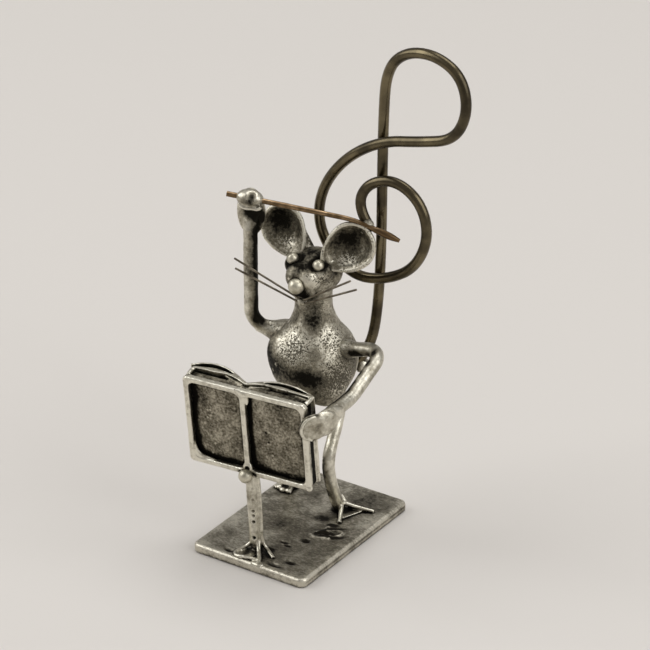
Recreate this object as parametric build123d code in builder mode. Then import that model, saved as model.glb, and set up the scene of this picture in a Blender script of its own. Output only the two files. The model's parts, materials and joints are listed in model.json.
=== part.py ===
from build123d import *
import math
import os

os.makedirs("parts", exist_ok=True)

# A pewter mouse conducts at a music stand. Lengths are in millimetres.
# The plate's underside is at z = 0 and centred on the origin, and the mouse faces -Y.

overrun = 1.0
bend_share = 0.45

# Base plate
base_width = 27.0
base_depth = 38.5
base_thickness = 2.0
base_corner_radius = 1.6
base_edge_radius = 0.7

# Body: a ball that runs up into the throat
mouse_x = -2.2
mouse_behind_post = 21.9
belly_radius = 9.1
belly_height = 35.4
throat_radius = 3.9
throat_rise = 13.1

# Head: a skull ball tapering to the muzzle
skull_radius = 4.9
skull_back = 0.8
skull_rise = 18.9
muzzle_radius = 2.3
muzzle_reach = 5.3
muzzle_drop = 1.2
nose_radius = 1.55
nose_bite = 1.75
nose_lift_angle = 22.0
eye_radius = 1.15
eye_bite = 0.6
eye_side_angle = 41.0
eye_lift_angle = 36.0

# Ears: dished cups on a short root
ear_radius = 4.8
ear_dish_radius = 5.4
ear_wall = 0.95
ear_rim_rounding = 0.35
ear_side = 8.2
ear_rise = 7.3
ear_back = 0.2
left_ear_turn_angle = 18.0
right_ear_turn_angle = 6.0
ear_tip_angle = 14.0
ear_root_radius = 2.0
ear_root_cup_radius = 3.1

# Whiskers
whisker_radius = 0.23
whisker_bend_radius = 1.6
whisker_clearance = 0.08
whisker_seat_angle = -45.0
whisker_reach = 13.6
whisker_forward = 1.2
upper_left_whisker_rise = 7.7
upper_right_whisker_rise = 5.3
lower_left_whisker_rise = 6.1
lower_right_whisker_rise = 3.6

# Raised right arm and its curled hand
arm_radius = 1.5
right_elbow_out = 11.7
right_elbow_forward = 5.0
right_elbow_rise = 6.6
right_elbow_radius = 4.6
hand_over_ear = 7.6
hand_width = 5.4
hand_thickness = 1.1
hand_lip = 0.9
hand_round_share = 0.56
grip_share = 0.8
wrist_length = 6.4
joint_share = 0.85

# Baton
baton_radius = 0.6
baton_handle = 4.8
baton_reach = 7.0
baton_tip_length = 2.6
baton_tip_radius = 0.15
baton_tip_drop = 1.9

# Lowered left arm and its flattened hand
left_elbow_out = 16.1
left_elbow_back = 1.0
left_elbow_rise = 5.8
left_elbow_radius = 3.4
left_wrist_radius = 9.0
palm_length = 6.4
palm_width = 5.8
palm_thickness = 1.3
palm_turn_angle = 52.0
palm_height_share = 0.78

# Legs and feet
leg_radius = 1.35
toe_radius = 0.42
web_thickness = 0.45
ankle_rise = 3.2

# Music stand: post, knob and desk
post_foot_x = -1.3
post_inset = 5.35
post_foot_radius = 1.35
post_top_radius = 1.15
post_toe_length = 4.6
post_toe_angles = (-31.0, 39.0, 76.0)
knob_radius = 1.25
desk_x = -1.33
desk_ahead_of_post = 2.1
desk_middle_height = 29.7
desk_width = 27.5
desk_height = 20.3
desk_bar = 1.35
desk_bar_depth = 1.3
desk_middle_bar_shift = -0.5
desk_corner_radius = 1.0
window_corner_radius = 1.3
desk_turn_angle = 5.4
desk_tilt_angle = 7.2

# Open book, behind the bars
book_depth = 2.3
book_inset = 0.45
leaf_thickness = 0.65
leaf_overhang = 1.3
leaf_bulge = 1.0
gutter_depth = 0.8

# Tail: one wire bent into a treble clef
wire_radius = 1.0
clef_height = 72.0
clef_foot_below_ear = 30.6
stem_side = 10.1
stem_back = 9.0
spiral_front = 2.3

# Solder beads
clef_bead_radius = 1.5
whisker_bead_radius = 0.95
plate_bead_radius = 1.3
tail_bead_radius = 1.7


def facing(side_angle, lift_angle):
    """A unit vector, turned from the mouse's forward direction to its left and upwards."""
    side = math.radians(side_angle)
    lift = math.radians(lift_angle)
    return Vector(
        math.sin(side) * math.cos(lift),
        -math.cos(side) * math.cos(lift),
        math.sin(lift),
    )


def bend_radii(points):
    """Give each corner of a route the largest even bend that its two runs allow."""
    radii = []
    for before, corner, after in zip(points, points[1:], points[2:]):
        run_in = corner - before
        run_out = after - corner
        half_turn = math.radians(run_in.get_angle(run_out)) / 2
        shorter = min(run_in.length, run_out.length)
        radii.append(bend_share * shorter / math.tan(half_turn))
    return radii


def bent_rod(points, radius, radii):
    """A round rod along straight runs joined by tangent arcs."""
    with BuildPart() as rod:
        with BuildLine() as route:
            FilletPolyline(*points, radius=radii)
        with BuildSketch(Plane(origin=route.line @ 0, z_dir=route.line % 0)):
            Circle(radius)
        sweep()
    return rod.part


def tapered_rod(start, end, start_radius, end_radius):
    """A straight round rod whose radius changes evenly from end to end."""
    direction = end - start
    with BuildPart() as rod:
        with BuildSketch(Plane(origin=start, z_dir=direction)):
            Circle(start_radius)
        with BuildSketch(Plane(origin=end, z_dir=direction)):
            Circle(end_radius)
        loft()
    return rod.part


def webbed_foot(ankle, toe_tips, rise):
    """Ridged toes that run down from the ankle to the plate, with a thin web between them."""
    knuckle_share = 0.28
    web_reach_share = 0.8
    tip_height = Vector(0, 0, toe_radius / 2)
    ridges = []
    for tip in toe_tips:
        knuckle = ankle + (tip - ankle) * knuckle_share + Vector(0, 0, web_thickness)
        route = [ankle + Vector(0, 0, rise), knuckle, tip + tip_height]
        ridges.append(bent_rod(route, toe_radius, bend_radii(route)))
    web_corners = [ankle] + [ankle + (tip - ankle) * web_reach_share for tip in toe_tips]
    with BuildPart() as foot:
        with BuildSketch(Plane.XY.offset(base_thickness)):
            with BuildLine():
                Polyline(*[(corner.X, corner.Y) for corner in web_corners], close=True)
            make_face()
        extrude(amount=web_thickness)
        for ridge in ridges:
            add(ridge)
    return foot.part


# Places that several pieces share, set out from the plate's front edge
post_foot_y = -base_depth / 2 + post_inset
desk_y = post_foot_y - desk_ahead_of_post
mouse_y = post_foot_y + mouse_behind_post
belly = Vector(mouse_x, mouse_y, belly_height)
skull = belly + Vector(0, skull_back, skull_rise)
muzzle = skull + Vector(0, -muzzle_reach, -muzzle_drop)
nose_centre = muzzle + facing(0, nose_lift_angle) * (muzzle_radius + nose_radius - nose_bite)

# The base plate: its corners and edges are rounded
with BuildPart() as base_plate:
    Box(base_width, base_depth, base_thickness, align=(Align.CENTER, Align.CENTER, Align.MIN))
    fillet(base_plate.edges().filter_by(Axis.Z), radius=base_corner_radius)
    fillet(base_plate.faces().sort_by(Axis.Z)[-1].edges(), radius=base_edge_radius)
    fillet(base_plate.faces().sort_by(Axis.Z)[0].edges(), radius=base_edge_radius / 2)

# The body: the throat's hollow curve is tangent to the belly's ball and to the neck
hollow_radius = (throat_rise**2 + throat_radius**2 - belly_radius**2) / (
    2 * (belly_radius - throat_radius)
)
to_hollow = Vector(throat_radius + hollow_radius, throat_rise)
belly_end = to_hollow.normalized() * belly_radius
belly_angle = math.degrees(math.atan2(belly_end.Y, belly_end.X))
with BuildPart() as mouse_body:
    with BuildSketch(Plane(origin=belly, x_dir=(1, 0, 0), z_dir=(0, -1, 0))):
        with BuildLine() as outline:
            side = CenterArc((0, 0), belly_radius, -90, 90 + belly_angle)
            hollow = TangentArc(
                side @ 1, (throat_radius, throat_rise), tangent=side % 1
            )
            Polyline(hollow @ 1, (throat_radius, skull_rise), (0, skull_rise), side @ 0)
        make_face()
    revolve(axis=Axis(belly, (0, 0, 1)))

# The head: a cone tangent to the skull's ball and the muzzle's ball, seated on the neck
head_axis = muzzle - skull
taper = math.degrees(math.asin((skull_radius - muzzle_radius) / head_axis.length))
with BuildPart() as mouse_head:
    with BuildSketch(Plane(origin=skull, x_dir=head_axis, z_dir=(1, 0, 0))):
        with BuildLine():
            back = CenterArc((0, 0), skull_radius, 90 - taper, 90 + taper)
            front = CenterArc((head_axis.length, 0), muzzle_radius, 0, 90 - taper)
            Line(front @ 1, back @ 0)
            Line(back @ 1, front @ 0)
        make_face()
    revolve(axis=Axis(skull, head_axis))
    add(mouse_body.part, mode=Mode.SUBTRACT)

# Nose and eyes: balls that sit on the head
with BuildPart() as nose:
    with Locations(nose_centre):
        Sphere(nose_radius)
    add(mouse_head.part, mode=Mode.SUBTRACT)


def seated_eye(side_angle):
    """An eye's ball, sunk a little into the skull."""
    centre = skull + facing(side_angle, eye_lift_angle) * (skull_radius + eye_radius - eye_bite)
    with BuildPart() as eye:
        with Locations(centre):
            Sphere(eye_radius)
        add(mouse_head.part, mode=Mode.SUBTRACT)
    return eye.part


with BuildPart() as left_eye:
    add(seated_eye(eye_side_angle))
with BuildPart() as right_eye:
    add(seated_eye(-eye_side_angle))

# Whiskers: two wires bent under the nose, so that four ends show
whisker_seat_reach = muzzle_radius + whisker_radius + whisker_clearance
whisker_seat = muzzle + facing(0, whisker_seat_angle) * whisker_seat_reach


def whisker_wire(seat, left_rise, right_rise):
    """One wire across the face, lowest under the nose, with its ends swept forward."""
    left_end = seat + Vector(whisker_reach, -whisker_forward, left_rise)
    right_end = seat + Vector(-whisker_reach, -whisker_forward, right_rise)
    return bent_rod([left_end, seat, right_end], whisker_radius, [whisker_bend_radius])


lower_whisker_seat = whisker_seat + Vector(0, whisker_radius, -3 * whisker_radius)
with BuildPart() as upper_whisker:
    add(whisker_wire(whisker_seat, upper_left_whisker_rise, upper_right_whisker_rise))
    add(mouse_head.part, mode=Mode.SUBTRACT)
    add(nose.part, mode=Mode.SUBTRACT)
with BuildPart() as lower_whisker:
    add(whisker_wire(lower_whisker_seat, lower_left_whisker_rise, lower_right_whisker_rise))
    add(mouse_head.part, mode=Mode.SUBTRACT)

# Places of the ears, the raised hand and the baton, which lies on the left ear's rim
left_ear_centre = skull + Vector(ear_side, ear_back, ear_rise)
right_ear_centre = skull + Vector(-ear_side, ear_back, ear_rise)
right_elbow = belly + Vector(-right_elbow_out, -right_elbow_forward, right_elbow_rise)
right_hand = Vector(right_elbow.X, right_elbow.Y, left_ear_centre.Z + hand_over_ear)
left_ear_up = facing(left_ear_turn_angle, ear_tip_angle + 90)
baton_rest = left_ear_centre + left_ear_up * (ear_radius + baton_radius)
baton_along = (baton_rest - right_hand).normalized()
baton_start = right_hand - baton_along * baton_handle
baton_end = baton_rest + baton_along * baton_reach - Vector(0, 0, baton_tip_drop)
baton_tip = baton_end + (baton_end - baton_rest).normalized() * baton_tip_length

# The baton: a fine rod with a pointed end
baton_route = [baton_start, baton_rest, baton_end]
with BuildPart() as baton:
    add(bent_rod(baton_route, baton_radius, bend_radii(baton_route)))
    add(tapered_rod(baton_end, baton_tip, baton_radius, baton_tip_radius))


def dished_ear(centre, opening):
    """A cup with a rounded rim, open along the given direction, on a root in the skull."""
    cup_ball_centre = centre + opening * math.sqrt(ear_dish_radius**2 - ear_radius**2)
    cup_back = cup_ball_centre - opening * (ear_dish_radius - ear_wall)
    rim_plane = Plane(origin=centre, z_dir=opening)
    root_rod = tapered_rod(skull, cup_back, ear_root_radius, ear_root_cup_radius)
    with BuildPart() as root:
        add(root_rod)
        with Locations(cup_ball_centre):
            Sphere(ear_dish_radius - ear_wall, mode=Mode.SUBTRACT)
        split(bisect_by=rim_plane, keep=Keep.BOTTOM)
        add(mouse_head.part, mode=Mode.SUBTRACT)
        add(mouse_body.part, mode=Mode.SUBTRACT)
    with BuildPart() as ear:
        with Locations(cup_ball_centre):
            Sphere(ear_dish_radius)
            Sphere(ear_dish_radius - ear_wall, mode=Mode.SUBTRACT)
        split(bisect_by=rim_plane, keep=Keep.BOTTOM)
        fillet(ear.edges().filter_by(GeomType.CIRCLE), radius=ear_rim_rounding)
        add(root.part)
        add(baton.part, mode=Mode.SUBTRACT)
    return ear.part


with BuildPart() as left_ear:
    add(dished_ear(left_ear_centre, facing(left_ear_turn_angle, ear_tip_angle)))
with BuildPart() as right_ear:
    add(dished_ear(right_ear_centre, facing(right_ear_turn_angle, ear_tip_angle)))

# Raised right arm: a rod, a wrist that widens, and a hand curled over the baton
right_shoulder_shares = (-0.5, -0.15, 0.45)
right_shoulder = belly + Vector(*right_shoulder_shares) * belly_radius
hand_back = Vector(0, 0, 1).cross(baton_along).normalized()
hand_plane = Plane(origin=right_hand, x_dir=hand_back, z_dir=baton_along)
hand_inner_radius = baton_radius * grip_share
hand_outer_radius = baton_radius + hand_thickness
right_wrist = right_hand - Vector(0, 0, wrist_length)
right_arm_rod = bent_rod(
    [right_shoulder, right_elbow, right_wrist], arm_radius, [right_elbow_radius]
)
with BuildPart() as right_hand_curl:
    with BuildSketch(hand_plane):
        with BuildLine():
            CenterArc((0, 0), hand_outer_radius, 0, 180)
            CenterArc((0, 0), hand_inner_radius, 0, 180)
            Polyline(
                (-hand_outer_radius, 0),
                (-hand_outer_radius, -hand_lip),
                (-hand_inner_radius, -hand_lip),
                (-hand_inner_radius, 0),
            )
            Polyline(
                (hand_outer_radius, 0),
                (hand_outer_radius, -2 * hand_lip),
                (hand_inner_radius, -2 * hand_lip),
                (hand_inner_radius, 0),
            )
        make_face()
    extrude(amount=hand_width / 2, both=True)
    with Locations(right_hand):
        Sphere(hand_width * hand_round_share, mode=Mode.INTERSECT)
palm_foot = hand_plane.from_local_coords(
    Vector(hand_inner_radius + hand_thickness / 2, -hand_lip / 2, 0)
)
with BuildPart() as right_arm:
    with BuildSketch(Plane(origin=right_wrist)):
        Circle(arm_radius)
    with BuildSketch(Plane(origin=palm_foot, x_dir=baton_along, z_dir=hand_plane.y_dir)):
        Ellipse(joint_share * hand_width / 2, joint_share * hand_thickness / 2)
    loft()
    add(right_arm_rod)
    add(right_hand_curl.part)
    add(mouse_body.part, mode=Mode.SUBTRACT)
    add(baton.part, mode=Mode.SUBTRACT)

# Legs: each starts inside the belly, bends at the knee and ends in a webbed foot
leg_height = belly_height - belly_radius - base_thickness
mouse_spot = Vector(mouse_x, mouse_y, base_thickness)
left_hip_shares = (0.42, 0.4, -0.6)
right_hip_shares = (-0.45, 0.4, -0.6)
left_leg_shares = [
    (0.177, 0.123, 0.864),
    (0.226, -0.14, 0.535),
    (0.235, -0.10, 0.288),
    (0.243, 0.037, 0),
]
right_leg_shares = [
    (-0.169, 0.123, 0.864),
    (-0.247, -0.10, 0.535),
    (-0.276, -0.025, 0.288),
    (-0.305, 0.165, 0),
]
left_toe_shares = [(0.383, -0.185, 0), (0.506, 0.128, 0)]
right_toe_shares = [(-0.41, 0.008, 0), (-0.25, -0.01, 0)]


def leg_and_foot(hip_shares, leg_shares, toe_shares):
    """A bent leg with its foot, cut to meet the belly and the plate."""
    hip = belly + Vector(*hip_shares) * belly_radius
    joints = [mouse_spot + Vector(*shares) * leg_height for shares in leg_shares]
    tips = [mouse_spot + Vector(*shares) * leg_height for shares in toe_shares]
    ankle = joints[-1]
    route = [hip] + joints[:-1] + [ankle - Vector(0, 0, overrun)]
    rod = bent_rod(route, leg_radius, bend_radii(route))
    foot = webbed_foot(ankle, tips, ankle_rise)
    with BuildPart() as leg:
        add(rod)
        add(foot)
        add(mouse_body.part, mode=Mode.SUBTRACT)
        add(base_plate.part, mode=Mode.SUBTRACT)
    return leg.part


with BuildPart() as left_leg:
    add(leg_and_foot(left_hip_shares, left_leg_shares, left_toe_shares))
with BuildPart() as right_leg:
    add(leg_and_foot(right_hip_shares, right_leg_shares, right_toe_shares))

# The music desk's own directions: across to the mouse's left, up its face, and out at the front
turn = math.radians(desk_turn_angle)
tilt = math.radians(desk_tilt_angle)
desk_across = Vector(math.cos(turn), math.sin(turn), 0)
desk_level_front = Vector(math.sin(turn), -math.cos(turn), 0)
desk_up = Vector(0, 0, math.cos(tilt)) + desk_level_front * math.sin(tilt)
desk_front = desk_across.cross(desk_up)
desk_middle = Vector(desk_x, desk_y, desk_middle_height)
desk_plane = Plane(origin=desk_middle, x_dir=desk_across, z_dir=desk_front)
desk_foot = desk_middle - desk_up * desk_height / 2 + desk_across * desk_middle_bar_shift

# Desk bars: a frame with a middle bar
window_height = desk_height - 2 * desk_bar
left_window_start = -desk_width / 2 + desk_bar
left_window_end = desk_middle_bar_shift - desk_bar / 2
right_window_start = desk_middle_bar_shift + desk_bar / 2
right_window_end = desk_width / 2 - desk_bar
with BuildPart() as desk_frame:
    with BuildSketch(desk_plane):
        RectangleRounded(desk_width, desk_height, desk_corner_radius)
        for start, end in (
            (left_window_start, left_window_end),
            (right_window_start, right_window_end),
        ):
            with Locations(((start + end) / 2, 0)):
                RectangleRounded(
                    end - start, window_height, window_corner_radius, mode=Mode.SUBTRACT
                )
    extrude(amount=desk_bar_depth)
    front_face = desk_frame.faces().sort_by(Axis(desk_middle, desk_front))[-1]
    fillet(front_face.edges(), radius=desk_bar / 3)

# The open book: two bulging halves that meet in the gutter, with a wider leaf behind
half_desk = desk_width / 2
leaf_left = -half_desk - leaf_overhang
book_middle = desk_middle_bar_shift
book_plane = Plane(origin=desk_middle - desk_up * desk_height / 2, x_dir=desk_across, z_dir=desk_up)


def halves_outline(extra_depth):
    """The two bulging curves of the book, seen from its lower edge."""
    depth = book_depth + extra_depth
    ThreePointArc(
        (leaf_left, depth),
        ((leaf_left + book_middle) / 2, depth + leaf_bulge),
        (book_middle, gutter_depth + extra_depth),
    )
    ThreePointArc(
        (book_middle, gutter_depth + extra_depth),
        ((half_desk + book_middle) / 2, depth + leaf_bulge),
        (half_desk, depth),
    )


with BuildPart() as page_block:
    with BuildSketch(book_plane.offset(book_inset)):
        with BuildLine():
            halves_outline(0)
            Polyline(
                (half_desk, book_depth),
                (half_desk, 0),
                (leaf_left, 0),
                (leaf_left, book_depth),
            )
        make_face()
        with Locations((0, book_depth)):
            Rectangle(desk_width - 2 * book_inset, 4 * book_depth, mode=Mode.INTERSECT)
    extrude(amount=desk_height - 2 * book_inset)
with BuildPart() as open_book:
    with BuildSketch(book_plane):
        with BuildLine():
            halves_outline(0)
            halves_outline(leaf_thickness)
            Line((leaf_left, book_depth), (leaf_left, book_depth + leaf_thickness))
            Line((half_desk, book_depth), (half_desk, book_depth + leaf_thickness))
        make_face()
    extrude(amount=desk_height)
    add(page_block.part)

# The stand's post, from its webbed foot up to the desk
post_foot = Vector(post_foot_x, post_foot_y, base_thickness)
post_toes = [post_foot + facing(angle, 0) * post_toe_length for angle in post_toe_angles]
post_start = post_foot - Vector(0, 0, overrun)
post_end = desk_foot + desk_up * overrun
post_rod = tapered_rod(post_start, post_end, post_foot_radius, post_top_radius)
post_web = webbed_foot(post_foot, post_toes, ankle_rise)
with BuildPart() as stand_post:
    add(post_rod)
    add(post_web)
    add(base_plate.part, mode=Mode.SUBTRACT)
    add(desk_frame.part, mode=Mode.SUBTRACT)
    add(open_book.part, mode=Mode.SUBTRACT)

# The knob: a ball in front of the post, under the desk's lower bar
knob_centre = desk_foot + desk_front * (desk_bar_depth / 2 + knob_radius) + desk_up * (desk_bar / 3)
with BuildPart() as stand_knob:
    with Locations(knob_centre):
        Sphere(knob_radius)
    add(desk_frame.part, mode=Mode.SUBTRACT)
    add(stand_post.part, mode=Mode.SUBTRACT)

# Lowered left arm: its flattened hand lies over the desk's front edge on the mouse's left
left_shoulder_shares = (0.55, 0, 0.35)
left_shoulder = belly + Vector(*left_shoulder_shares) * belly_radius
left_elbow = belly + Vector(left_elbow_out, left_elbow_back, left_elbow_rise)
palm_facing = facing(palm_turn_angle, 0)
palm_along = Vector(0, 0, 1).cross(palm_facing)
desk_corner = desk_plane.from_local_coords(
    Vector(desk_width / 2, (palm_height_share - 0.5) * desk_height, desk_bar_depth)
)
palm_middle = desk_corner + palm_facing * palm_thickness / 2 + palm_along * palm_width / 4
left_wrist = palm_middle + Vector(0, wrist_length, palm_thickness / 3)
left_bend = palm_middle + Vector(0, 2 * wrist_length, palm_thickness / 2)
left_arm_route = [left_shoulder, left_elbow, left_bend, left_wrist]
left_arm_rod = bent_rod(left_arm_route, arm_radius, [left_elbow_radius, left_wrist_radius])
with BuildPart() as palm:
    with BuildSketch(Plane(origin=palm_middle, x_dir=palm_along, z_dir=palm_facing)):
        Ellipse(palm_length / 2, palm_width / 2)
    extrude(amount=palm_thickness / 2, both=True)
    fillet(palm.edges(), radius=palm_thickness / 3)
with BuildPart() as left_arm:
    with BuildSketch(Plane(origin=left_wrist, z_dir=left_wrist - left_bend)):
        Circle(arm_radius)
    with BuildSketch(Plane(origin=palm_middle, x_dir=palm_facing, z_dir=-palm_along)):
        Ellipse(joint_share * palm_thickness / 2, joint_share * palm_width / 2)
    loft()
    add(left_arm_rod)
    add(palm.part)
    add(mouse_body.part, mode=Mode.SUBTRACT)
    add(desk_frame.part, mode=Mode.SUBTRACT)
    add(open_book.part, mode=Mode.SUBTRACT)

# The tail: shares of the clef's height to the side and up, and of the spiral's step to the front
tail_root_shares = (0.3, 0.38, -0.6)
clef_shares = [
    (-0.040, 0.5, 0.028),
    (-0.002, 0, 0.208),
    (0.001, 0, 0.792),
    (0.014, 0, 0.921),
    (0.079, 0.12, 0.992),
    (0.176, 0.33, 1.006),
    (0.263, 0.58, 0.963),
    (0.288, 0.79, 0.864),
    (0.244, 0.92, 0.775),
    (0.140, 1, 0.746),
    (0.022, 1, 0.721),
    (-0.089, 1, 0.651),
    (-0.168, 1, 0.550),
    (-0.192, 1, 0.442),
    (-0.151, 1, 0.350),
    (-0.065, 1, 0.292),
    (0.038, 1, 0.311),
    (0.129, 1, 0.369),
    (0.172, 1, 0.472),
    (0.146, 1, 0.569),
    (0.063, 1, 0.617),
    (-0.021, 1.29, 0.590),
    (-0.049, 1.54, 0.518),
    (-0.006, 1.83, 0.474),
]
clef_foot = Vector(mouse_x + stem_side, mouse_y + stem_back, left_ear_centre.Z - clef_foot_below_ear)
clef_points = [
    clef_foot + Vector(side * clef_height, -front * spiral_front, up * clef_height)
    for side, front, up in clef_shares
]
tail_root = belly + Vector(*tail_root_shares) * belly_radius
tail_route = [tail_root] + clef_points
with BuildPart() as tail_clef:
    add(bent_rod(tail_route, wire_radius, bend_radii(tail_route)))
    add(mouse_body.part, mode=Mode.SUBTRACT)

# Solder beads where the pieces are joined
baton_seat = baton_rest + baton_along * baton_handle / 4
clef_seat = (clef_points[-1] + baton_seat) / 2
tail_seat_share = 0.85
tail_seat = tail_root + (clef_points[0] - tail_root) * tail_seat_share
whisker_bead_seat = whisker_seat - Vector(0, 0, whisker_radius)
plate_seat = Vector(post_foot_x, post_toes[0].Y, base_thickness)


def solder_bead(centre, radius, joined):
    """A ball of solder, less the pieces that it joins."""
    with BuildPart() as bead:
        with Locations(centre):
            Sphere(radius)
        for piece in joined:
            add(piece.part, mode=Mode.SUBTRACT)
    return bead.part


with BuildPart() as solder_beads:
    add(solder_bead(clef_seat, clef_bead_radius, (baton, left_ear, tail_clef)))
    add(solder_bead(whisker_bead_seat, whisker_bead_radius, (upper_whisker, lower_whisker, mouse_head)))
    add(solder_bead(tail_seat, tail_bead_radius, (mouse_body, tail_clef)))
    add(solder_bead(plate_seat, plate_bead_radius, (base_plate, stand_post)))

pieces = {
    "base_plate": base_plate,
    "mouse_body": mouse_body,
    "mouse_head": mouse_head,
    "nose": nose,
    "left_eye": left_eye,
    "right_eye": right_eye,
    "left_ear": left_ear,
    "right_ear": right_ear,
    "upper_whisker": upper_whisker,
    "lower_whisker": lower_whisker,
    "right_arm": right_arm,
    "left_arm": left_arm,
    "left_leg": left_leg,
    "right_leg": right_leg,
    "baton": baton,
    "tail_clef": tail_clef,
    "desk_frame": desk_frame,
    "open_book": open_book,
    "stand_post": stand_post,
    "stand_knob": stand_knob,
    "solder_beads": solder_beads,
}
for name, piece in pieces.items():
    piece.part.label = name
    export_step(piece.part, f"parts/{name}.step")
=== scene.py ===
# %% [markdown]
# A pewter mouse conducts at a music stand, and its wire tail is bent into a treble clef.
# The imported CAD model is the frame: it says where every piece is and how large.
# Blender dresses that frame, so each piece below is made in place and moves with it.

# %% The frame
import json
import math

import bpy
import numpy as np
from mathutils import Matrix, Vector

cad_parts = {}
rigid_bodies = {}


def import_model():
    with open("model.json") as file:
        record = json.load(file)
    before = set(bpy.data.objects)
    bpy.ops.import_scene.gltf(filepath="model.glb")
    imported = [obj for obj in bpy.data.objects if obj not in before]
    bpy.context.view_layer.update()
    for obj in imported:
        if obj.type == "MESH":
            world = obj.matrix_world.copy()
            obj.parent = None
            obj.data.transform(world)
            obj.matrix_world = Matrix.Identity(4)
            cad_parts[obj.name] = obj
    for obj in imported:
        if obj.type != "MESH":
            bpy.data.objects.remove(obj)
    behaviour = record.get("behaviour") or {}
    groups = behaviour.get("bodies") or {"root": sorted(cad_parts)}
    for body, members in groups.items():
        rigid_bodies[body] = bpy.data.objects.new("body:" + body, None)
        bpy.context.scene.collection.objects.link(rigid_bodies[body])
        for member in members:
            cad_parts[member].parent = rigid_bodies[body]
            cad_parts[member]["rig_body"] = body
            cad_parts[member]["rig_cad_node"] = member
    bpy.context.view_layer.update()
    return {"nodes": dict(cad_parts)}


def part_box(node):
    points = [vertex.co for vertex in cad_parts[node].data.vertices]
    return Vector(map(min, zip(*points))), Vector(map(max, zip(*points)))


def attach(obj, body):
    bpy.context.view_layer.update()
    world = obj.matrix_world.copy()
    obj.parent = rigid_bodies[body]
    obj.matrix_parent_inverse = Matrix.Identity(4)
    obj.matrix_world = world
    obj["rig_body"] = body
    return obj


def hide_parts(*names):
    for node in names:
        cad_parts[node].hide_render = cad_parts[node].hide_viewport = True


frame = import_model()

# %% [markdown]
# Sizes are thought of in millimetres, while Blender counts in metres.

MM = 0.001
print("CAD nodes:", len(frame["nodes"]))

# %% [markdown]
# The camera looks down on the figurine from its left front, through a long lens,
# as a small object is photographed on a table. A long lens keeps the plate's edges nearly parallel.

# %% Camera
aim = Vector((5.79, 0, 48.15)) * MM
camera_distance = 650 * MM
camera_turn = math.radians(33.71)
camera_height = math.radians(26.8)
sensor_width = 36.0
lens_in_sensor_widths = 5.117
towards_camera = Vector((
    math.sin(camera_turn) * math.cos(camera_height),
    -math.cos(camera_turn) * math.cos(camera_height),
    math.sin(camera_height),
))
seen_right = Vector((math.cos(camera_turn), math.sin(camera_turn), 0))
seen_up = towards_camera.cross(seen_right)
bpy.ops.object.camera_add(
    location=aim + towards_camera * camera_distance,
    rotation=towards_camera.to_track_quat("Z", "Y").to_euler(),
)
camera = bpy.context.object
camera.data.sensor_width = sensor_width
camera.data.lens = sensor_width * lens_in_sensor_widths
bpy.context.scene.camera = camera
bpy.context.scene.view_settings.view_transform = "Standard"
print("Camera lens in mm:", round(camera.data.lens, 1))


# %% [markdown]
# Materials are built from nodes. One function adds a node, sets its fields and fills its sockets,
# and one turns the hex colours that a paint program shows into the linear colours that a shader takes.

# %% Helpers for materials
def add_node(tree, kind, fields, sockets):
    """Add one shader node, set its fields, and fill each socket with a value or another node's output."""
    made = tree.nodes.new(kind)
    for field, value in fields.items():
        setattr(made, field, value)
    for socket, value in sockets.items():
        if isinstance(value, bpy.types.NodeSocket):
            tree.links.new(value, made.inputs[socket])
        else:
            made.inputs[socket].default_value = value
    return made


def linear(hex_colour):
    """Turn an sRGB hex value into linear red, green, blue and a full alpha."""
    levels = [int(hex_colour[place:place + 2], 16) / 255 for place in (1, 3, 5)]
    curved = [((level + 0.055) / 1.055) ** 2.4 if level > 0.04045 else level / 12.92 for level in levels]
    return (*curved, 1.0)


def empty_material(name):
    """A material with only its output and its shader, and the shader's tree."""
    material = bpy.data.materials.new(name)
    material.use_nodes = True
    tree = material.node_tree
    return material, tree, tree.nodes["Principled BSDF"]


def per_mm(size):
    """The noise scale at which one wave measures this many millimetres."""
    return 1 / (size * MM)


def join_metal(tree, shader, colour, gloss, height, strength, depth):
    """Give a shader a metal's colour and roughness, and a relief of about this depth in millimetres."""
    bump = add_node(
        tree, "ShaderNodeBump", {}, {"Strength": strength, "Distance": depth * MM, "Height": height}
    )
    tree.links.new(colour, shader.inputs["Base Color"])
    tree.links.new(gloss, shader.inputs["Roughness"])
    tree.links.new(bump.outputs["Normal"], shader.inputs["Normal"])
    shader.inputs["Metallic"].default_value = 1.0


# %% [markdown]
# Pewter is mostly tin. It is cast in a mould and then dipped in a black antiquing bath, and the maker
# rubs the high places bright again with a cloth, so the black stays in the corners. A painted picture
# could say where, but nodes fit any shape and stay sharp: Ambient Occlusion finds the corners and
# Pointiness the edges. A note that the pieces carry on their own points says where more black or less
# is seen on the real one. Besides the bath's own black, that note holds painted shade and painted
# highlights.

# %% What the bath, the cloth and painted light leave
cloth_wave = 4.0


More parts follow.
